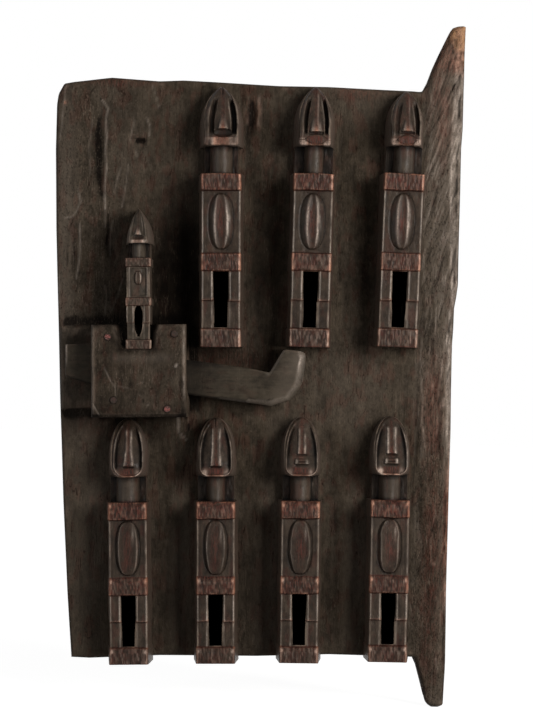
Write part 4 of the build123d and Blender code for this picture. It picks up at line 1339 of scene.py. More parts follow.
def carve_ancestor(name, a, place, lean, cell, material, slot, seed, sink=1.5, notch=None):
    """Ancestor as a tube of level rows: up one side wall, across the relief and down the other wall.

    The columns crowd at the edges of the leg slot, whose floor lies near the seat. A notch is
    (height, depth): below that height the back stands that far before the seat."""
    at, s = levels_of(a), a.half / BODY_HALF
    slot_low, slot_high = a.feet + a.slot_foot * s, at.leg_top - 0.9 * s
    steep = ((slot_low, 0.1), (slot_high, 0.1), (at.shoulder_top, 0.05), (at.chin, 0.05))
    rows = [level + side * gap for level, gap in steep for side in (-1, 1)] + [at.crest - 0.2]
    z = np.unique(np.append(np.arange(0, at.crest - 0.4, cell), rows))[:, None]
    seat_half, front_half = ancestor_halves(a, z, seed)
    left, right = slot_edges(a, z, seed)
    outer = np.linspace(0, 1, round((a.half - a.slot_half) / cell))[None, :]
    inner = np.linspace(0.01, 0.99, round(2 * a.slot_half / cell))[None, :]
    x_front = np.hstack([-1 + (1 - left) * outer, -left + (left + right) * inner,
                         1 - (1 - right) * outer[:, ::-1]]) * front_half
    depth, shares = ancestor_depth(a, x_front, np.broadcast_to(z, x_front.shape), seed)
    depth = np.maximum(depth, 0.4)
    columns = np.arange(x_front.shape[1])[None, :]
    middle = (columns >= outer.size) & (columns < outer.size + inner.size)
    hole = middle & (z > slot_low) & (z < slot_high)
    back = np.full_like(z, -sink)
    if notch:
        back = np.where(z < notch[0], notch[1], back)
    depth = np.where(hole, np.maximum(back, 0) + SLOT_FLOOR, depth)

    bulge = 0.35 * uneven(WALL * 30, z, 9, 14, seed + 6) * np.sin(WALL * np.pi)
    x_wall = seat_half + (front_half - seat_half) * WALL + bulge
    x = np.hstack([-x_wall, x_front, x_wall[:, ::-1]])
    walls = [back + (edge - back) * WALL for edge in (depth[:, :1], depth[:, -1:])]
    y = np.hstack([walls[0], depth, walls[1][:, ::-1]])
    gx, gz = turned(x, np.broadcast_to(z, x.shape), place, radians(lean))
    points = np.stack([gx, box_mm(name)[1][1] - y, gz], axis=-1)
    # faces in and round the leg slot take the near-black painted shade
    in_hole = np.pad(hole, ((0, 0), (WALL.size, WALL.size)))
    touched = in_hole[:-1] | in_hole[1:]
    touched |= np.roll(touched, -1, axis=1)
    piece = make_piece(f"{name}_wood", points.reshape(-1, 3), tube_faces(*x.shape), material,
                       ancestor_shares(a, z, x_front, depth, shares), np.flatnonzero(touched))
    dress(piece, slot, name)


def stand_of(node, a, lean):
    """Middle of an ancestor's feet at its seat, worked out from its CAD box and lean."""
    low, high = box_mm(node)
    angle = radians(lean)
    reach = a.half + a.flare
    foot_x = high[0] - reach * cos(angle) if lean < 0 else low[0] + reach * cos(angle)
    return foot_x, low[2] + reach * sin(abs(angle))


# ---- lock ----

CASE_TILT = -2.4                  # degrees about +Y
BOLT_SLOPE = 6
CASE_HALF = 53.5                  # half width of the lock case at its back
CASE_FRONT_HALF = 51.25
CASE_HALF_HEIGHT = 50.5
CASE_CHEEK = 29                   # its walls draw in from this depth on
CASE_BEVEL = (38, 7)              # height and depth of the slope at the top of its front
CASE_FOOT_BEVEL = 3
CASE_DRAWN_IN = 3.6               # how far the right wall draws in behind the front's worn edge
PAD_RAISE = 5                     # how far the pad stands before the plank
PAD_TOP = 50
PAD_BOTTOM = 41.5
FIGURE_FOOT = 24                  # height of the small ancestor's feet over the lock's centre
FIGURE_FOOT_DEPTH = 22            # how far they reach back from its front
RECESS_HALF = 20.5
RECESS_DEPTH = 10
NAILS = ((-33.7, 37), (39, 40), (-27.6, -31.7), (30.7, -41.8))
NAIL_SEAT = 4.5                   # radius of the hollow round a nail's head
SEAT_REACH = 30                   # how far before the head its cutter ends
RUSTY_NAILS = ("case_nail_1", "case_nail_4")
BOLT_HALF = 19
BOLT_CLEARANCE = 0.4
HEAD_END = -82.8                  # along the bolt from the lock's centre
SHOULDER = -54.5
FOOT_END = 178.5
TURN = radians(BOLT_SLOPE - CASE_TILT)
TUMBLER_HOLES = (39, 51, 63)
TUMBLER_BORES = (-1, 11, 23)
BORE_RADIUS = 3.3
BORE_TOP = 44.6                   # blind end of the bores over the bolt's line
HOLE_RADIUS = 3.8
HOLE_REACH = 40                   # end of the hole cutters over the bolt's line
CHANNEL_REACH = 120
NAIL_HEAD = 2.4                   # how far a nail's head stands before its seat
ARC_POINTS = 5                    # on each corner of the bolt's section
SIDE_POINTS = (22, 12, 22, 12)    # on its front, top, back and underside
KEYWAY_START = 33
KEYWAY = (12, 20)                 # width and height


def lock_place():
    """Centre of the lock: of the case's box across and up."""
    low, high = box_mm("lock_case")
    return (low[0] + high[0]) / 2, (low[2] + high[2]) / 2


def line_mark(x, z, x_start, z_start, x_end, z_end, width):
    """Bell across a straight scratch from start to end, faded past its ends."""
    run_x, run_z = x_end - x_start, z_end - z_start
    length = np.hypot(run_x, run_z)
    along = ((x - x_start) * run_x + (z - z_start) * run_z) / length
    away = ((z - z_start) * run_x - (x - x_start) * run_z) / length
    return bell(away, width) * band(0, length, width * 3, along)


# Cuts in the case's front: (x, z) to (x, z) from its centre, half width and depth. Chips: (x, z), half
# width and depth. Bright scratches and painted glints: (x, z) to (x, z), half width and strength.
CASE_CUTS = (
    (-37, 4, -29, -12, 0.8, 0.9), (-24, -12, -25, -30, 0.7, 0.7), (-50, -34, -41, -50, 0.9, 0.8),
    (14, -20, 40, -6, 0.7, 0.6),
)
CASE_CHIPS = (
    (41, 6, 2.6, 1), (-29, -33, 2, 0.9), (45, -14, 4, 1.5), (3, -24, 3.2, 0.9), (4, -33, 2.4, 1.1),
    (18, -37, 1.6, 0.7),
)
CASE_MARKS_AND_GLINTS = (
    (-37, 4, -30, -11, 0.8, 0.24), (-26, -13, -24.5, -29, 0.7, 0.2), (-30.5, -10, -26, -18, 0.7, 0.16),
    (41.5, 7, 40.5, 4, 1.3, 1.6), (-31, -30, -28, -34, 1.8, 0.45), (-24, -16, -10, -19, 0.8, 0.12),
    (-2, -14.5, 6, -12, 0.6, 0.1), (-50, -36, -42.5, -49, 0.8, 0.36), (9, -38, 11, -36.5, 1, 0.4),
    (-20, -50, -6, -50, 0.9, 0.25),
)


def case_relief(x, z, depth):
    """Front of the lock case before its seat: top slope, foot slope, scooped recess, cuts, chips."""
    start = CASE_HALF_HEIGHT - CASE_BEVEL[0]
    front = depth + 0.5 * bell(z - start + 0.05 * x, 4)
    front -= CASE_BEVEL[1] * np.clip((z - start) / CASE_BEVEL[0], 0, 1.2) ** 1.15
    front -= CASE_FOOT_BEVEL * np.clip((start - z) / (start + CASE_HALF_HEIGHT), 0, 1) ** 1.5
    widen = RECESS_HALF * (0.84 + 0.16 * ease(FIGURE_FOOT, CASE_HALF_HEIGHT, z))
    off = np.abs(x + 2) + 1.2 * uneven(x, z, 7, 9, 61) - 1.5 * (x < 0)
    scoop = (1 - ease(widen - 5, widen + 3.5, off)) * ease(FIGURE_FOOT - 5, FIGURE_FOOT + 6, z) ** 1.5
    front -= RECESS_DEPTH * scoop
    front += 0.5 * uneven(x, z, 17, 21, 62) + 0.22 * uneven(x, z, 5, 8, 63)
    front += 0.1 * uneven(x, z, 1.6, 12, 64)
    for *line, deep in CASE_CUTS:
        front -= deep * line_mark(x, z, *line)
    front -= 3.2 * ease(8, 0, (x + CASE_FRONT_HALF) * 0.8 + (z + CASE_HALF_HEIGHT) * 0.66)
    for chip_x, chip_z, size, deep in CASE_CHIPS:
        reach = ((x - chip_x) / size) ** 2 + ((z - chip_z) / (1.5 * size)) ** 2
        front -= deep * np.clip(1 - reach, 0, 1)
    return front


def case_shade(x, z):
    """Painted shade on the case's front: round the small ancestor's feet in the recess, along the rough
    top edge and low down, with the thin shade of a chipped right edge, and dark random spots on its
    left half."""
    near = band(FIGURE_FOOT - 4, 70, 9, z) * (1 - ease(18, 28, np.abs(x + 2)))
    top = ease(42, 50, z + 3 * uneven(x, z, 6, 6, 68)) * (1 - 0.7 * ease(5, 25, x))
    foot = 0.45 * ease(-34, -50, z + 3 * uneven(x, z, 9, 6, 69)) + 0.8 * ease(-46, -48.5, z)
    beside = 0.45 * bell(x - 46 + 0.05 * z, 2.6) * ease(18, -2, z)
    spots = 0.35 * np.clip(uneven(x, z, 7, 9, 70), 0, 1) ** 2 * (x < 0)
    return np.clip(0.9 * near + 0.65 * top + foot + beside + spots, 0, 0.95)


def case_highlights_and_marks(x, z):
    """Lights of the case's front: painted highlights on its chipped right edge, its left edge and the
    line where the top slope starts, and bright scratches and two painted glints."""
    broken = 0.5 + 0.5 * uneven(x, z, 2.5, 5, 45)
    patchy = 0.4 + 0.6 * broken
    light = 0.44 * bell(x - CASE_FRONT_HALF + 1.6 + 0.6 * broken, 1.2) * broken * ease(-34, -26, z)
    light += 0.3 * bell(x + CASE_FRONT_HALF - 1.4, 1) * patchy
    light += 0.06 * bell(z - CASE_HALF_HEIGHT + CASE_BEVEL[0] - 1.5, 5) * band(-30, 36, 10, x)
    for *line, strength in CASE_MARKS_AND_GLINTS:
        light += strength * line_mark(x, z, *line) * patchy
    return np.clip(light, 0, 1)


def lock_case(sizes, material):
    """Case block as level rows round its front and sides, then cut for the bolt, pins and nails."""
    low, high = box_mm("lock_case")
    depth, place = high[1] - low[1], lock_place()
    cell = sizes.relief_cell / MM * 1.25
    z = spread(-CASE_HALF_HEIGHT, CASE_HALF_HEIGHT, cell, (0.4, 1, 2))[:, None]
    across = spread(-1, 1, cell / CASE_FRONT_HALF, (0.008, 0.02, 0.04))
    if across.size % 2:           # an even count, so that no column lies in the middle
        across = np.delete(across, across.size // 2)
    x, up = np.broadcast_arrays(across * CASE_FRONT_HALF, z)
    inset = np.minimum(CASE_FRONT_HALF - np.abs(x), 0.7 * (CASE_HALF_HEIGHT - np.abs(up)))
    drop = roll(inset, 2.6 + 1.2 * uneven(x, up, 12, 12, 65))
    ragged = 1.6 * np.clip(uneven(x, up, 9, 40, 66), 0, 1) * ease(44, 50.5, up) * (x < 0)
    front = np.minimum(case_relief(x, up, depth) - drop - ragged, depth)

    wall = np.linspace(0, 0.94, 16)[None, :]
    half = CASE_HALF - (CASE_HALF - CASE_FRONT_HALF) * np.clip((wall * depth - CASE_CHEEK) / 26, 0, 1)
    x_wall = half + 0.35 * uneven(wall * 55, z, 12, 24, 67) * np.sin(wall * np.pi)
    x_right = x_wall - CASE_DRAWN_IN * ease(-34, -16, z) * ease(1, 0.25, wall)
    x_all = np.hstack([-x_wall, x, x_right[:, ::-1]])
    y_all = np.hstack([front[:, :1] * wall, front, (front[:, -1:] * wall)[:, ::-1]])
    gx, gz = turned(x_all, np.broadcast_to(z, x_all.shape), place, radians(CASE_TILT))
    points = np.stack([gx, high[1] + 0.3 * (y_all <= 0) - y_all, gz], axis=-1)
    bordered = np.pad(front, 8, constant_values=depth * 0.8)
    proud, sunk = (field[8:-8, 8:-8] for field in wear_of(bordered, 4, 1.6))
    fields = {"proud": (proud, 0.1), "sunk": (sunk, 0.1), "shade_and_soot_share": (case_shade(x, up), 0),
              "light": (case_highlights_and_marks(x, up), 0), "rough": (np.full(x.shape, 0.85), 0.85)}
    shares = {key: np.pad(field, ((0, 0), (wall.size, wall.size)), constant_values=rest)
              for key, (field, rest) in fields.items()}
    faces = tube_faces(*x_all.shape)
    piece = make_piece("lock_case_wood", points.reshape(-1, 3), faces, material, shares)

    bolt_low, bolt_high = box_mm("lock_bolt")
    middle, channel = (bolt_low[1] + bolt_high[1]) / 2, BOLT_HALF + BOLT_CLEARANCE
    opening = box_section((-CHANNEL_REACH, bolt_low[1] - BOLT_CLEARANCE), (CHANNEL_REACH, 5))
    cutters = [prism("channel", opening, (-channel, channel), place, BOLT_SLOPE)]
    for number, bore_at in enumerate(TUMBLER_BORES):
        bore = circle(bore_at, middle, BORE_RADIUS)
        cutters.append(prism(f"bore_{number}", bore, (0, BORE_TOP), place, BOLT_SLOPE))
    for number, (nail_x, nail_z) in enumerate(NAILS):
        seat = box_mm(f"case_nail_{number + 1}")[0][1] + NAIL_HEAD
        head = circle(nail_x, nail_z, NAIL_SEAT)
        ends = (seat, seat - SEAT_REACH)
        cutters.append(prism(f"seat_{number}", head, ends, place, CASE_TILT, upright=False))
    cut(piece, cutters)
    dress(piece, "lock_wood", "lock_case")


def box_section(low, high):
    """Four corners of a box's section, as their first and second coordinates."""
    return (low[0], high[0], high[0], low[0]), (low[1], low[1], high[1], high[1])


def circle(first, second, radius):
    """Circle of 24 points about a centre, as their first and second coordinates."""
    around = np.linspace(0, 2 * np.pi, 24, endpoint=False)
    return first + radius * np.cos(around), second + radius * np.sin(around)


def prism(name, section, ends, place, angle, upright=True):
    """Closed prism for cutting, turned about +Y at a place: a section in x and y carried between two
    heights, or when not upright a section in x and z carried between two places along y."""
    x, second, third = np.broadcast_arrays(*section, np.array(ends)[:, None])
    y, z = (second, third) if upright else (third, second)
    gx, gz = turned(x, z, place, radians(angle))
    points = np.stack([gx, y, gz], axis=-1)
    return make_piece(name, points.reshape(-1, 3), tube_faces(*x.shape), bpy.data.materials.new(name))


# Worn bevels of the bolt's front, from (u, w) to (u, w) along and across it, and their widths.
BEVELS = (
    (141, 17.8, 152.6, 45, 3.4), (152.6, 46, 175, 46.4, 2), (175, 46.4, 178.5, 39, 7),
    (178.5, 39, 176.6, 7, 7.6), (176.6, 7, 167, -9.6, 8), (167, -9.6, 151, -17.2, 7.5),
    (151, -17.2, 125, -18.6, 6.4), (125, -18.6, 92, -18.8, 3.6), (92, -18.8, 56, -18.9, 1.4),
    (56, 19.2, 120, 19.6, 1.6),
)


def bolt_looks(u, w, drop, edge_low):
    """Lights and shade of the bolt: a painted highlight on the chamfer round its foot and at the end of
    its head, painted light on the lower bevel, darker near the case, at the head and along the top, and
    a painted shadow line along its underside."""
    foot = ease(148, 166, u - 0.25 * w)
    chamfer = ease(0.4, 1.4, drop) * (1 - 0.5 * ease(3, 5, drop))
    mottled = 0.5 + 0.5 * uneven(u, w, 3, 3, 75)
    light = foot * chamfer * (0.19 + 0.15 * ease(10, 34, w)) * (0.7 + 0.5 * mottled)
    light += 0.75 * foot * bell(drop - 1, 0.6) * bell(w - 34, 7)
    lower = ease(0.3, 1, drop) * (w < 0) * (1 - foot)
    light += lower * 0.14 + 0.10 * (u > 140) * (u < 156) * (w > 15) * ease(0.3, 1, drop)
    near_case = (1 - ease(62, 104, u + 8 * uneven(u, w, 12, 9, 76))) * (u > 30)
    light += 0.75 * bell(u - HEAD_END - 1.2, 1) * ease(-10, 2, w) * (0.5 + 0.5 * ease(4, 14, w))
    soot_and_shade = 0.70 * near_case + 0.15 * (u < SHOULDER + 4) * mottled
    soot_and_shade += 0.8 * bell(w - edge_low - 0.6, 1) * ease(170, 150, u)
    soot_and_shade += 0.55 * bell(drop - 0.3, 0.45) * (drop > 0) * (w < 0) * band(70, 160, 8, u)
    soot_and_shade += 0.45 * (0.25 + 0.5 * mottled) * ease(10, 18.5, w) * (u < 136)
    return np.clip(light, 0, 1), np.clip(soot_and_shade, 0, 0.95)


def bevel_drop(u, w):
    """How far the bolt's front falls back at a place: the deepest of its bevels there."""
    drop = np.zeros_like(u)
    for u0, w0, u1, w1, width in BEVELS:
        run = np.array([u1 - u0, w1 - w0])
        along = np.clip(((u - u0) * run[0] + (w - w0) * run[1]) / (run @ run), 0, 1)
        away = np.hypot(u - u0 - along * run[0], w - w0 - along * run[1])
        drop = np.maximum(drop, 0.62 * np.clip(width - away, 0, None))
    return drop


def bolt_edges(u):
    """Lower and upper edge of the bolt across its line, at places along it."""
    low = np.interp(u, (HEAD_END, SHOULDER, SHOULDER + 0.5, 120, 148, 152, 160, 167, 172,
                        176, FOOT_END),
                    (-17.3, -22.2, -19, -18.6, -18.2, -16.6, -13, -9.3, -2.8, 5.4, 12))
    high = np.interp(u, (HEAD_END, SHOULDER, SHOULDER + 0.5, 49, 90, 121, 141, 152.6, 158,
                         174, 177, FOOT_END),
                     (17.3, 22.2, 19, 19, 19.6, 19.4, 18, 44.6, 46, 46, 44, 39.5))
    return low, high


def lock_bolt(material):
    """Bolt as sections along its line: rounded rectangles between its lower and upper edge, sheared
    at the head to lie along the case's side, then cut for the keyway and the pin holes."""
    low, high = box_mm("lock_bolt")
    place, middle, half_y = lock_place(), (low[1] + high[1]) / 2, (high[1] - low[1]) / 2
    along = np.concatenate([spread(HEAD_END, SHOULDER, 1.2, (0.4, 1, 2)),
                            spread(SHOULDER + 0.5, 138, 1.8, (0.5, 1.2)),
                            spread(139, FOOT_END, 1, (0.4, 0.9, 1.6))])[:, None]
    edge_low, edge_high = bolt_edges(along)
    wobble = 0.25 * uneven(along, 0 * along, 24, 1, 71) * (1 - band(SHOULDER - 1, 112, 2, along))
    edge_low, edge_high = edge_low - wobble, edge_high + wobble
    centre = (edge_low + edge_high) / 2
    end_round = np.minimum(along - HEAD_END, FOOT_END - along)
    pull = roll(end_round, 1.5)
    half_w, depth = (edge_high - edge_low) / 2 - pull, half_y - pull * 0.6
    y, w = rounded_sections(depth, half_w, 1.1 + 0.3 * uneven(along, 0 * along, 30, 1, 72), 1)
    w += centre
    u = np.broadcast_to(along, w.shape)
    shave = 0.3 * uneven(u, w, 26, 9, 73) + 0.16 * uneven(u, w, 9, 2.6, 74)
    y += ease(0.5, 0.98, -y / depth) * (0.45 - shave) * 0.9
    drop = bevel_drop(u, w)
    y += drop * np.clip(-y / half_y, 0, 1)
    sheared = u - tan(TURN) * (1 - ease(-50, -10, along)) * w
    gx, gz = turned(sheared, w, place, radians(BOLT_SLOPE))
    points = np.stack([gx, middle + y, gz], axis=-1)

    corner = bell(np.abs(w - centre) - half_w + 1, 1.1) * ease(0.2, 0.8, -y / depth)
    tips = 1 - ease(0.5, 3, end_round)
    brow = bell(drop - 0.5, 0.5) * ease(138, 160, along)
    front = ease(0.5, 0.9, -y / depth)
    light, soot_and_shade = bolt_looks(u, w, drop, edge_low)
    shares = {"proud": 0.6 * np.clip(corner * 0.6 + tips * 0.5 + brow * 0.9, 0, 0.9),
              "light": light * front, "shade_and_soot_share": soot_and_shade * front,
              "dust_and_painted_light": 0.6 * ease(140, 160, u - 0.3 * w) * front, "rough": np.full_like(w, 0.2)}
    piece = make_piece("lock_bolt_wood", points.reshape(-1, 3), tube_faces(*w.shape), material, shares)
    width, tall = KEYWAY
    opening = box_section((KEYWAY_START, middle - width / 2), (FOOT_END + 30, middle + width / 2))
    cutters = [prism("keyway", opening, (-tall / 2, tall / 2), place, BOLT_SLOPE)]
    for number, hole_at in enumerate(TUMBLER_HOLES):
        hole = circle(hole_at, middle, HOLE_RADIUS)
        cutters.append(prism(f"hole_{number}", hole, (0, HOLE_REACH), place, BOLT_SLOPE))
    cut(piece, cutters)
    dress(piece, "bolt_wood", "lock_bolt")


def rounded_sections(half_y, half_w, round_front, round_back):
    """(y, w) of rounded rectangles, one per row, from the back's foot round by the front.

    Each side is a straight run between the ends of its corners' arcs, and each corner a quarter
    circle."""
    turns = np.linspace(0, np.pi / 2, ARC_POINTS)[None, :]
    corners = ((-1, -1, round_front), (-1, 1, round_front), (1, 1, round_back), (1, -1, round_back))
    arcs = []
    for sign_y, sign_w, radius in corners:
        unit_y, unit_w = corner_unit(sign_y, sign_w, turns)
        arcs.append((sign_y * (half_y - radius) + radius * unit_y,
                     sign_w * (half_w - radius) + radius * unit_w))
    ys, ws = [], []
    for number, count in enumerate(SIDE_POINTS):
        share = np.linspace(0, 1, count + 2)[None, 1:-1]
        for parts, arc, following in zip((ys, ws), arcs[number], arcs[(number + 1) % 4]):
            parts.extend([arc, arc[:, -1:] * (1 - share) + following[:, :1] * share])
    return np.hstack(ys), np.hstack(ws)


def corner_unit(sign_y, sign_w, turns):
    """Unit arc of one corner, walked front foot, front top, back top, back foot."""
    near, far = np.cos(turns), np.sin(turns)
    if sign_y * sign_w < 0:
        near, far = far, near
    return sign_y * far, sign_w * near


# ---- stage ----

CAMERA_PLACE = (-0.2000, -2.615, 0.3659)
CAMERA_ROLL = radians(2.024)
CAMERA_LENS = 116.1
SENSOR = 36.0
FLOOR_GAP = 0.0002                # metres from the door's lowest point down to the floor
FLOOR_EDGES = ((-6.0, -6.0), (6.0, -6.0), (6.0, 9.0), (-6.0, 9.0))
FLOOR_GREY = (0.35, 0.35, 0.35, 1)
FLOOR_FADE = (0.35, 1.3)          # distances between which the floor's glow rises to full white
WHITE = (1, 1, 1, 1)
KEY_PLACE = (1.10, -1.50, 0.78)
KEY_SIZE = 1.0
KEY_COLOUR = (1.0, 0.97, 0.93)
FILL_PLACE = (-1.9, -1.5, 0.8)
FILL_SIZE = 0.7
FILL_COLOUR = (0.97, 0.98, 1.0)


def area_lamp(name, place, target, size, power, colour):
    """Square area lamp that faces a target."""
    lamp = bpy.data.lights.new(name, "AREA")
    lamp.size = size
    lamp.energy = power
    lamp.color = colour
    holder = bpy.data.objects.new(name, lamp)
    holder.location = place
    holder.rotation_euler = (Vector(target) - Vector(place)).to_track_quat("-Z", "Y").to_euler()
    bpy.context.scene.collection.objects.link(holder)


def seen_rays(finish):
    """1 on camera, glossy and transmission rays."""
    camera, glossy, through = (finish.add("ShaderNodeLightPath", {}, {}, name) for name in (
        "Is Camera Ray", "Is Glossy Ray", "Is Transmission Ray"))
    return camera.most(glossy).most(through)


def floor_material(name, glow):
    """White floor that takes the shadow and glows towards the eye, all white far from the door."""
    f = Finish(bpy.data.materials.new(name))
    diffuse = f.add("ShaderNodeBsdfDiffuse", {}, {"Color": FLOOR_GREY})
    away = f.add("ShaderNodeVectorMath", {"operation": "LENGTH"}, {0: f.place}, "Value")
    strength = seen_rays(f) * away.eased(*FLOOR_FADE, glow, 1)
    light = f.add("ShaderNodeEmission", {}, {"Color": WHITE, "Strength": strength})
    return f.finished(f.add("ShaderNodeAddShader", {}, {0: diffuse, 1: light}))


def white_world(ambient):
    """World that is white to the eye and a dim even grey to everything else."""
    f = Finish(bpy.data.worlds.new("studio"))
    levels = {"Value": seen_rays(f), "To Min": ambient, "To Max": 1}
    strength = f.add("ShaderNodeMapRange", {}, levels)
    background = f.add("ShaderNodeBackground", {}, {"Color": WHITE, "Strength": strength})
    bpy.context.scene.world = f.finished(background, "ShaderNodeOutputWorld")


# ---- settings ----


def colour_setting(name, description, default):
    """Colour property in linear light."""
    return FloatVectorProperty(name=name, description=description, default=default, subtype="COLOR",
                               min=0.0, max=1.0, size=3)


def length_setting(name, description, default):
    """Length property in metres."""
    return FloatProperty(name=name, description=description, default=default, min=0.00001,
                         unit="LENGTH")


def light_setting(name, description, default):
    """Level of a lamp or of a glow."""
    return FloatProperty(name=name, description=description, default=default)


class DoorSizes(bpy.types.PropertyGroup):
    """Sizes of the carving that a user would change."""

    plank_cell: length_setting("Plank cell", "Distance between the plank's points", 0.00235)
    plank_round: length_setting("Plank rounding", "Radius of the plank's worn front edges", 0.0042)
    hewn_depth: length_setting("Hewn depth", "Height of the adze facets over the plank", 0.001)
    relief_cell: length_setting("Relief cell", "Distance between a carved relief's points", 0.00068)


class DoorColours(bpy.types.PropertyGroup):
    """Colours of the woods and the iron."""

    plank: colour_setting("Plank", "Smoke-dark plank", (0.0390, 0.0298, 0.0208))
    figure: colour_setting("Ancestors", "Handled dark figures", (0.0290, 0.0200, 0.0142))
    lock: colour_setting("Lock case", "Dark lock case", (0.0320, 0.0240, 0.0168))
    lock_figure: colour_setting("Lock figure", "Small ancestor", (0.0365, 0.0285, 0.0205))
    bolt: colour_setting("Bolt", "Bolt polished by use", (0.0330, 0.0262, 0.0185))
    # grey dust, which the dust share also lays as painted light on shaded plank and necks
    dust: colour_setting("Dust", "Grey dust on broad patches", (0.0900, 0.0720, 0.0560))
    rubbed: colour_setting("Rubbed", "Red-brown rubbed wood", (0.0930, 0.0255, 0.0180))
    worn_edge: colour_setting("Worn edge", "Light worn edges", (0.1500, 0.1150, 0.0880))
    worn_red: colour_setting("Worn red", "Light edges of the rubbed bars", (0.2300, 0.0980, 0.0600))
    # colours of painted highlights: light glinting on wood polished by hands, plain and on the rubbed
    # red
    polished: colour_setting("Polished", "Lights polished by hands", (0.4600, 0.3850, 0.3300))
    red_highlight: colour_setting("Polished red", "Lights on the rubbed wood", (0.5600, 0.3050, 0.2150))
    # near-black of painted shade in hollows, creases and recesses, and of cracks, pits and dark fibres
    soot_and_shade: colour_setting("Soot", "Near-black hollows", (0.0026, 0.0018, 0.0014))
    bare_wood: colour_setting("Bare wood", "Pale worn horn tip", (0.400, 0.220, 0.110))
    iron: colour_setting("Iron", "Dark iron scale", (0.0300, 0.0220, 0.0165))
    rust: colour_setting("Rust", "Red-brown rust", (0.1900, 0.0620, 0.0520))
    scoured: colour_setting("Scoured", "Pinkish scoured iron", (0.3600, 0.1500, 0.1500))


class DoorLight(bpy.types.PropertyGroup):
    """Levels of the studio light."""

    key: light_setting("Key", "Power of the large lamp, upper right", 46.0)
    fill: light_setting("Fill", "Power of the weak lamp, left", 9.0)
    ambient: light_setting("Ambient", "Strength of the even world light", 0.03)
    floor_glow: light_setting("Floor glow", "Glow that whitens the floor", 0.955)


# ---- operators ----


class DOOR_OT_plank(bpy.types.Operator):
    """Carve the hewn plank with its horns and lock pad"""

    bl_idname = "door.plank"
    bl_label = "Plank"

    def execute(self, context):
        colours = context.scene.door_colours
        material = patina_wood("plank_patina", colours.plank, wear=0.8, dust=0.32, red=0.75,
                               relief=0.0012, rough=0.48, sheen=0.025)
        door_plank(context.scene.door_sizes, material)
        return {"FINISHED"}


class DOOR_OT_ancestors(bpy.types.Operator):
    """Carve the seven ancestors"""

    bl_idname = "door.ancestors"
    bl_label = "Ancestors"

    def execute(self, context):
        colours = context.scene.door_colours
        cell = context.scene.door_sizes.relief_cell / MM
        material = patina_wood("figure_patina", colours.figure, wear=0.8, dust=0.15, red=0.85,
                               relief=0.0005, rough=0.36, sheen=0.1)
        for number, (node, (shape, lean)) in enumerate(ANCESTORS.items()):
            place, seed = stand_of(node, shape, lean), 100 + 10 * number
            carve_ancestor(node, shape, place, lean, cell, material, "figure_wood", seed)
        return {"FINISHED"}


class DOOR_OT_lock_case(bpy.types.Operator):
    """Carve the lock case with its channel and recess"""

    bl_idname = "door.lock_case"
    bl_label = "Lock case"

    def execute(self, context):
        colours = context.scene.door_colours
        material = patina_wood("lock_patina", colours.lock, wear=0.6, dust=0.4, red=0.6,
                               relief=0.0008, rough=0.48, sheen=0.035)
        lock_case(context.scene.door_sizes, material)
        return {"FINISHED"}


class DOOR_OT_lock_figure(bpy.types.Operator):
    """Carve the small ancestor on the lock case"""

    bl_idname = "door.lock_figure"
    bl_label = "Lock figure"

    def execute(self, context):
        colours = context.scene.door_colours
        cell = context.scene.door_sizes.relief_cell / MM * 0.75
        material = patina_wood("lock_figure_patina", colours.lock_figure, wear=1, dust=0.3, red=0.8,
                               relief=0.0005, rough=0.4, sheen=0.1)
        place = turned(0, FIGURE_FOOT, lock_place(), radians(CASE_TILT))
        notch = (CASE_HALF_HEIGHT - FIGURE_FOOT, LOCK.depth - FIGURE_FOOT_DEPTH)
        carve_ancestor("lock_figure", LOCK, place, CASE_TILT, cell, material, "lock_figure_wood", 200,
                       sink=0.5, notch=notch)
        return {"FINISHED"}


class DOOR_OT_lock_bolt(bpy.types.Operator):
    """Carve the sliding bolt with its head, foot and keyway"""

    bl_idname = "door.lock_bolt"
    bl_label = "Bolt"

    def execute(self, context):
        colours = context.scene.door_colours
        material = patina_wood("bolt_patina", colours.bolt, wear=0.8, dust=0.3, red=0.25,
                               relief=0.0004, rough=0.46, sheen=0.07, lying=True)
        lock_bolt(material)
        return {"FINISHED"}


class DOOR_OT_iron(bpy.types.Operator):
    """Rust the nails and the tumblers"""

    bl_idname = "door.iron"
    bl_label = "Iron"

    def execute(self, context):
        for name, node in frame["nodes"].items():
            if name.startswith(("case_nail", "tumbler")):
                low, high = box_mm(name)
                middle = ((low[0] + high[0]) / 2 * MM, low[1] * MM, (low[2] + high[2]) / 2 * MM)
                rust = 1 if name in RUSTY_NAILS else 0.1
                material = rusty_iron(f"{name}_iron", rust, middle)
                node.data.materials.clear()
                node.data.materials.append(material)
        return {"FINISHED"}


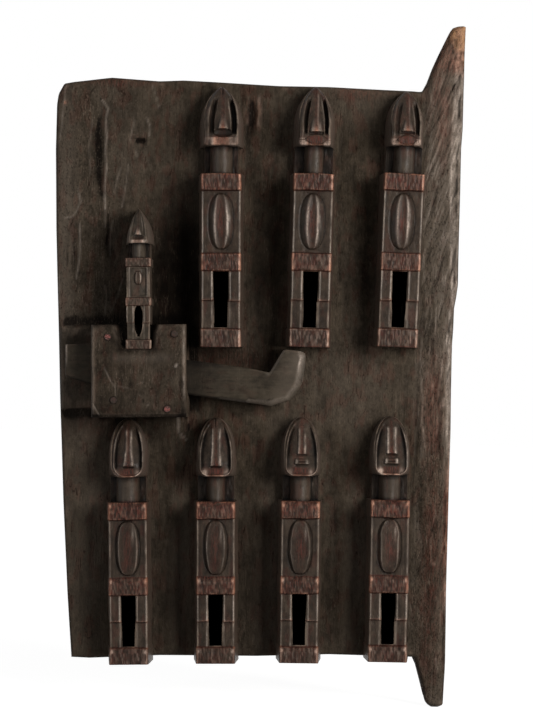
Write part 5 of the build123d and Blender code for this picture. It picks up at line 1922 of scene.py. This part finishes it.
class DOOR_OT_stage(bpy.types.Operator):
    """Set the floor, the lamps and the camera"""

    bl_idname = "door.stage"
    bl_label = "Stage"

    def execute(self, context):
        light = context.scene.door_light
        centre = (Vector(CAD_BOX[0]) + Vector(CAD_BOX[1])) / 2
        floor_z = CAD_BOX[0][2] - FLOOR_GAP
        mesh = bpy.data.meshes.new("floor")
        mesh.from_pydata([(x, y, floor_z) for x, y in FLOOR_EDGES], [], [(0, 1, 2, 3)])
        mesh.materials.append(floor_material("floor_white", light.floor_glow))
        floor = bpy.data.objects.new("floor", mesh)
        context.scene.collection.objects.link(floor)
        white_world(light.ambient)
        area_lamp("key", KEY_PLACE, centre, KEY_SIZE, light.key, KEY_COLOUR)
        area_lamp("fill", FILL_PLACE, centre, FILL_SIZE, light.fill, FILL_COLOUR)
        camera = bpy.data.cameras.new("camera")
        camera.lens = CAMERA_LENS
        camera.sensor_fit = "VERTICAL"
        camera.sensor_height = SENSOR
        camera.sensor_width = SENSOR
        holder = bpy.data.objects.new("camera", camera)
        holder.matrix_world = (Matrix.Translation(CAMERA_PLACE) @ Matrix.Rotation(-CAMERA_ROLL, 4, "Y")
                               @ Matrix.Rotation(radians(90), 4, "X"))
        context.scene.collection.objects.link(holder)
        context.scene.camera = holder
        context.scene.view_settings.view_transform = "Standard"
        return {"FINISHED"}


OPERATORS = (DOOR_OT_plank, DOOR_OT_ancestors, DOOR_OT_lock_case, DOOR_OT_lock_figure,
             DOOR_OT_lock_bolt, DOOR_OT_iron, DOOR_OT_stage)


class DOOR_PT_sidebar(bpy.types.Panel):
    """Lists the settings and the operators"""

    bl_idname = "DOOR_PT_sidebar"
    bl_label = "Granary door"
    bl_space_type = "VIEW_3D"
    bl_region_type = "UI"
    bl_category = "Door"

    def draw(self, context):
        for group in (context.scene.door_sizes, context.scene.door_colours, context.scene.door_light):
            for key in group.__annotations__:
                self.layout.prop(group, key)
        for operator in OPERATORS:
            self.layout.operator(operator.bl_idname)


CLASSES = (DoorSizes, DoorColours, DoorLight, *OPERATORS, DOOR_PT_sidebar)


def register():
    """Registers the classes and hangs the settings on the scene."""
    for cls in CLASSES:
        bpy.utils.register_class(cls)
    bpy.types.Scene.door_sizes = PointerProperty(type=DoorSizes)
    bpy.types.Scene.door_colours = PointerProperty(type=DoorColours)
    bpy.types.Scene.door_light = PointerProperty(type=DoorLight)


def unregister():
    """Takes the settings and the classes away."""
    del bpy.types.Scene.door_sizes
    del bpy.types.Scene.door_colours
    del bpy.types.Scene.door_light
    for cls in reversed(CLASSES):
        bpy.utils.unregister_class(cls)


def main():
    register()
    for operator in OPERATORS:
        group, name = operator.bl_idname.split(".")
        getattr(getattr(bpy.ops, group), name)()


if __name__ == "__main__":
    main()
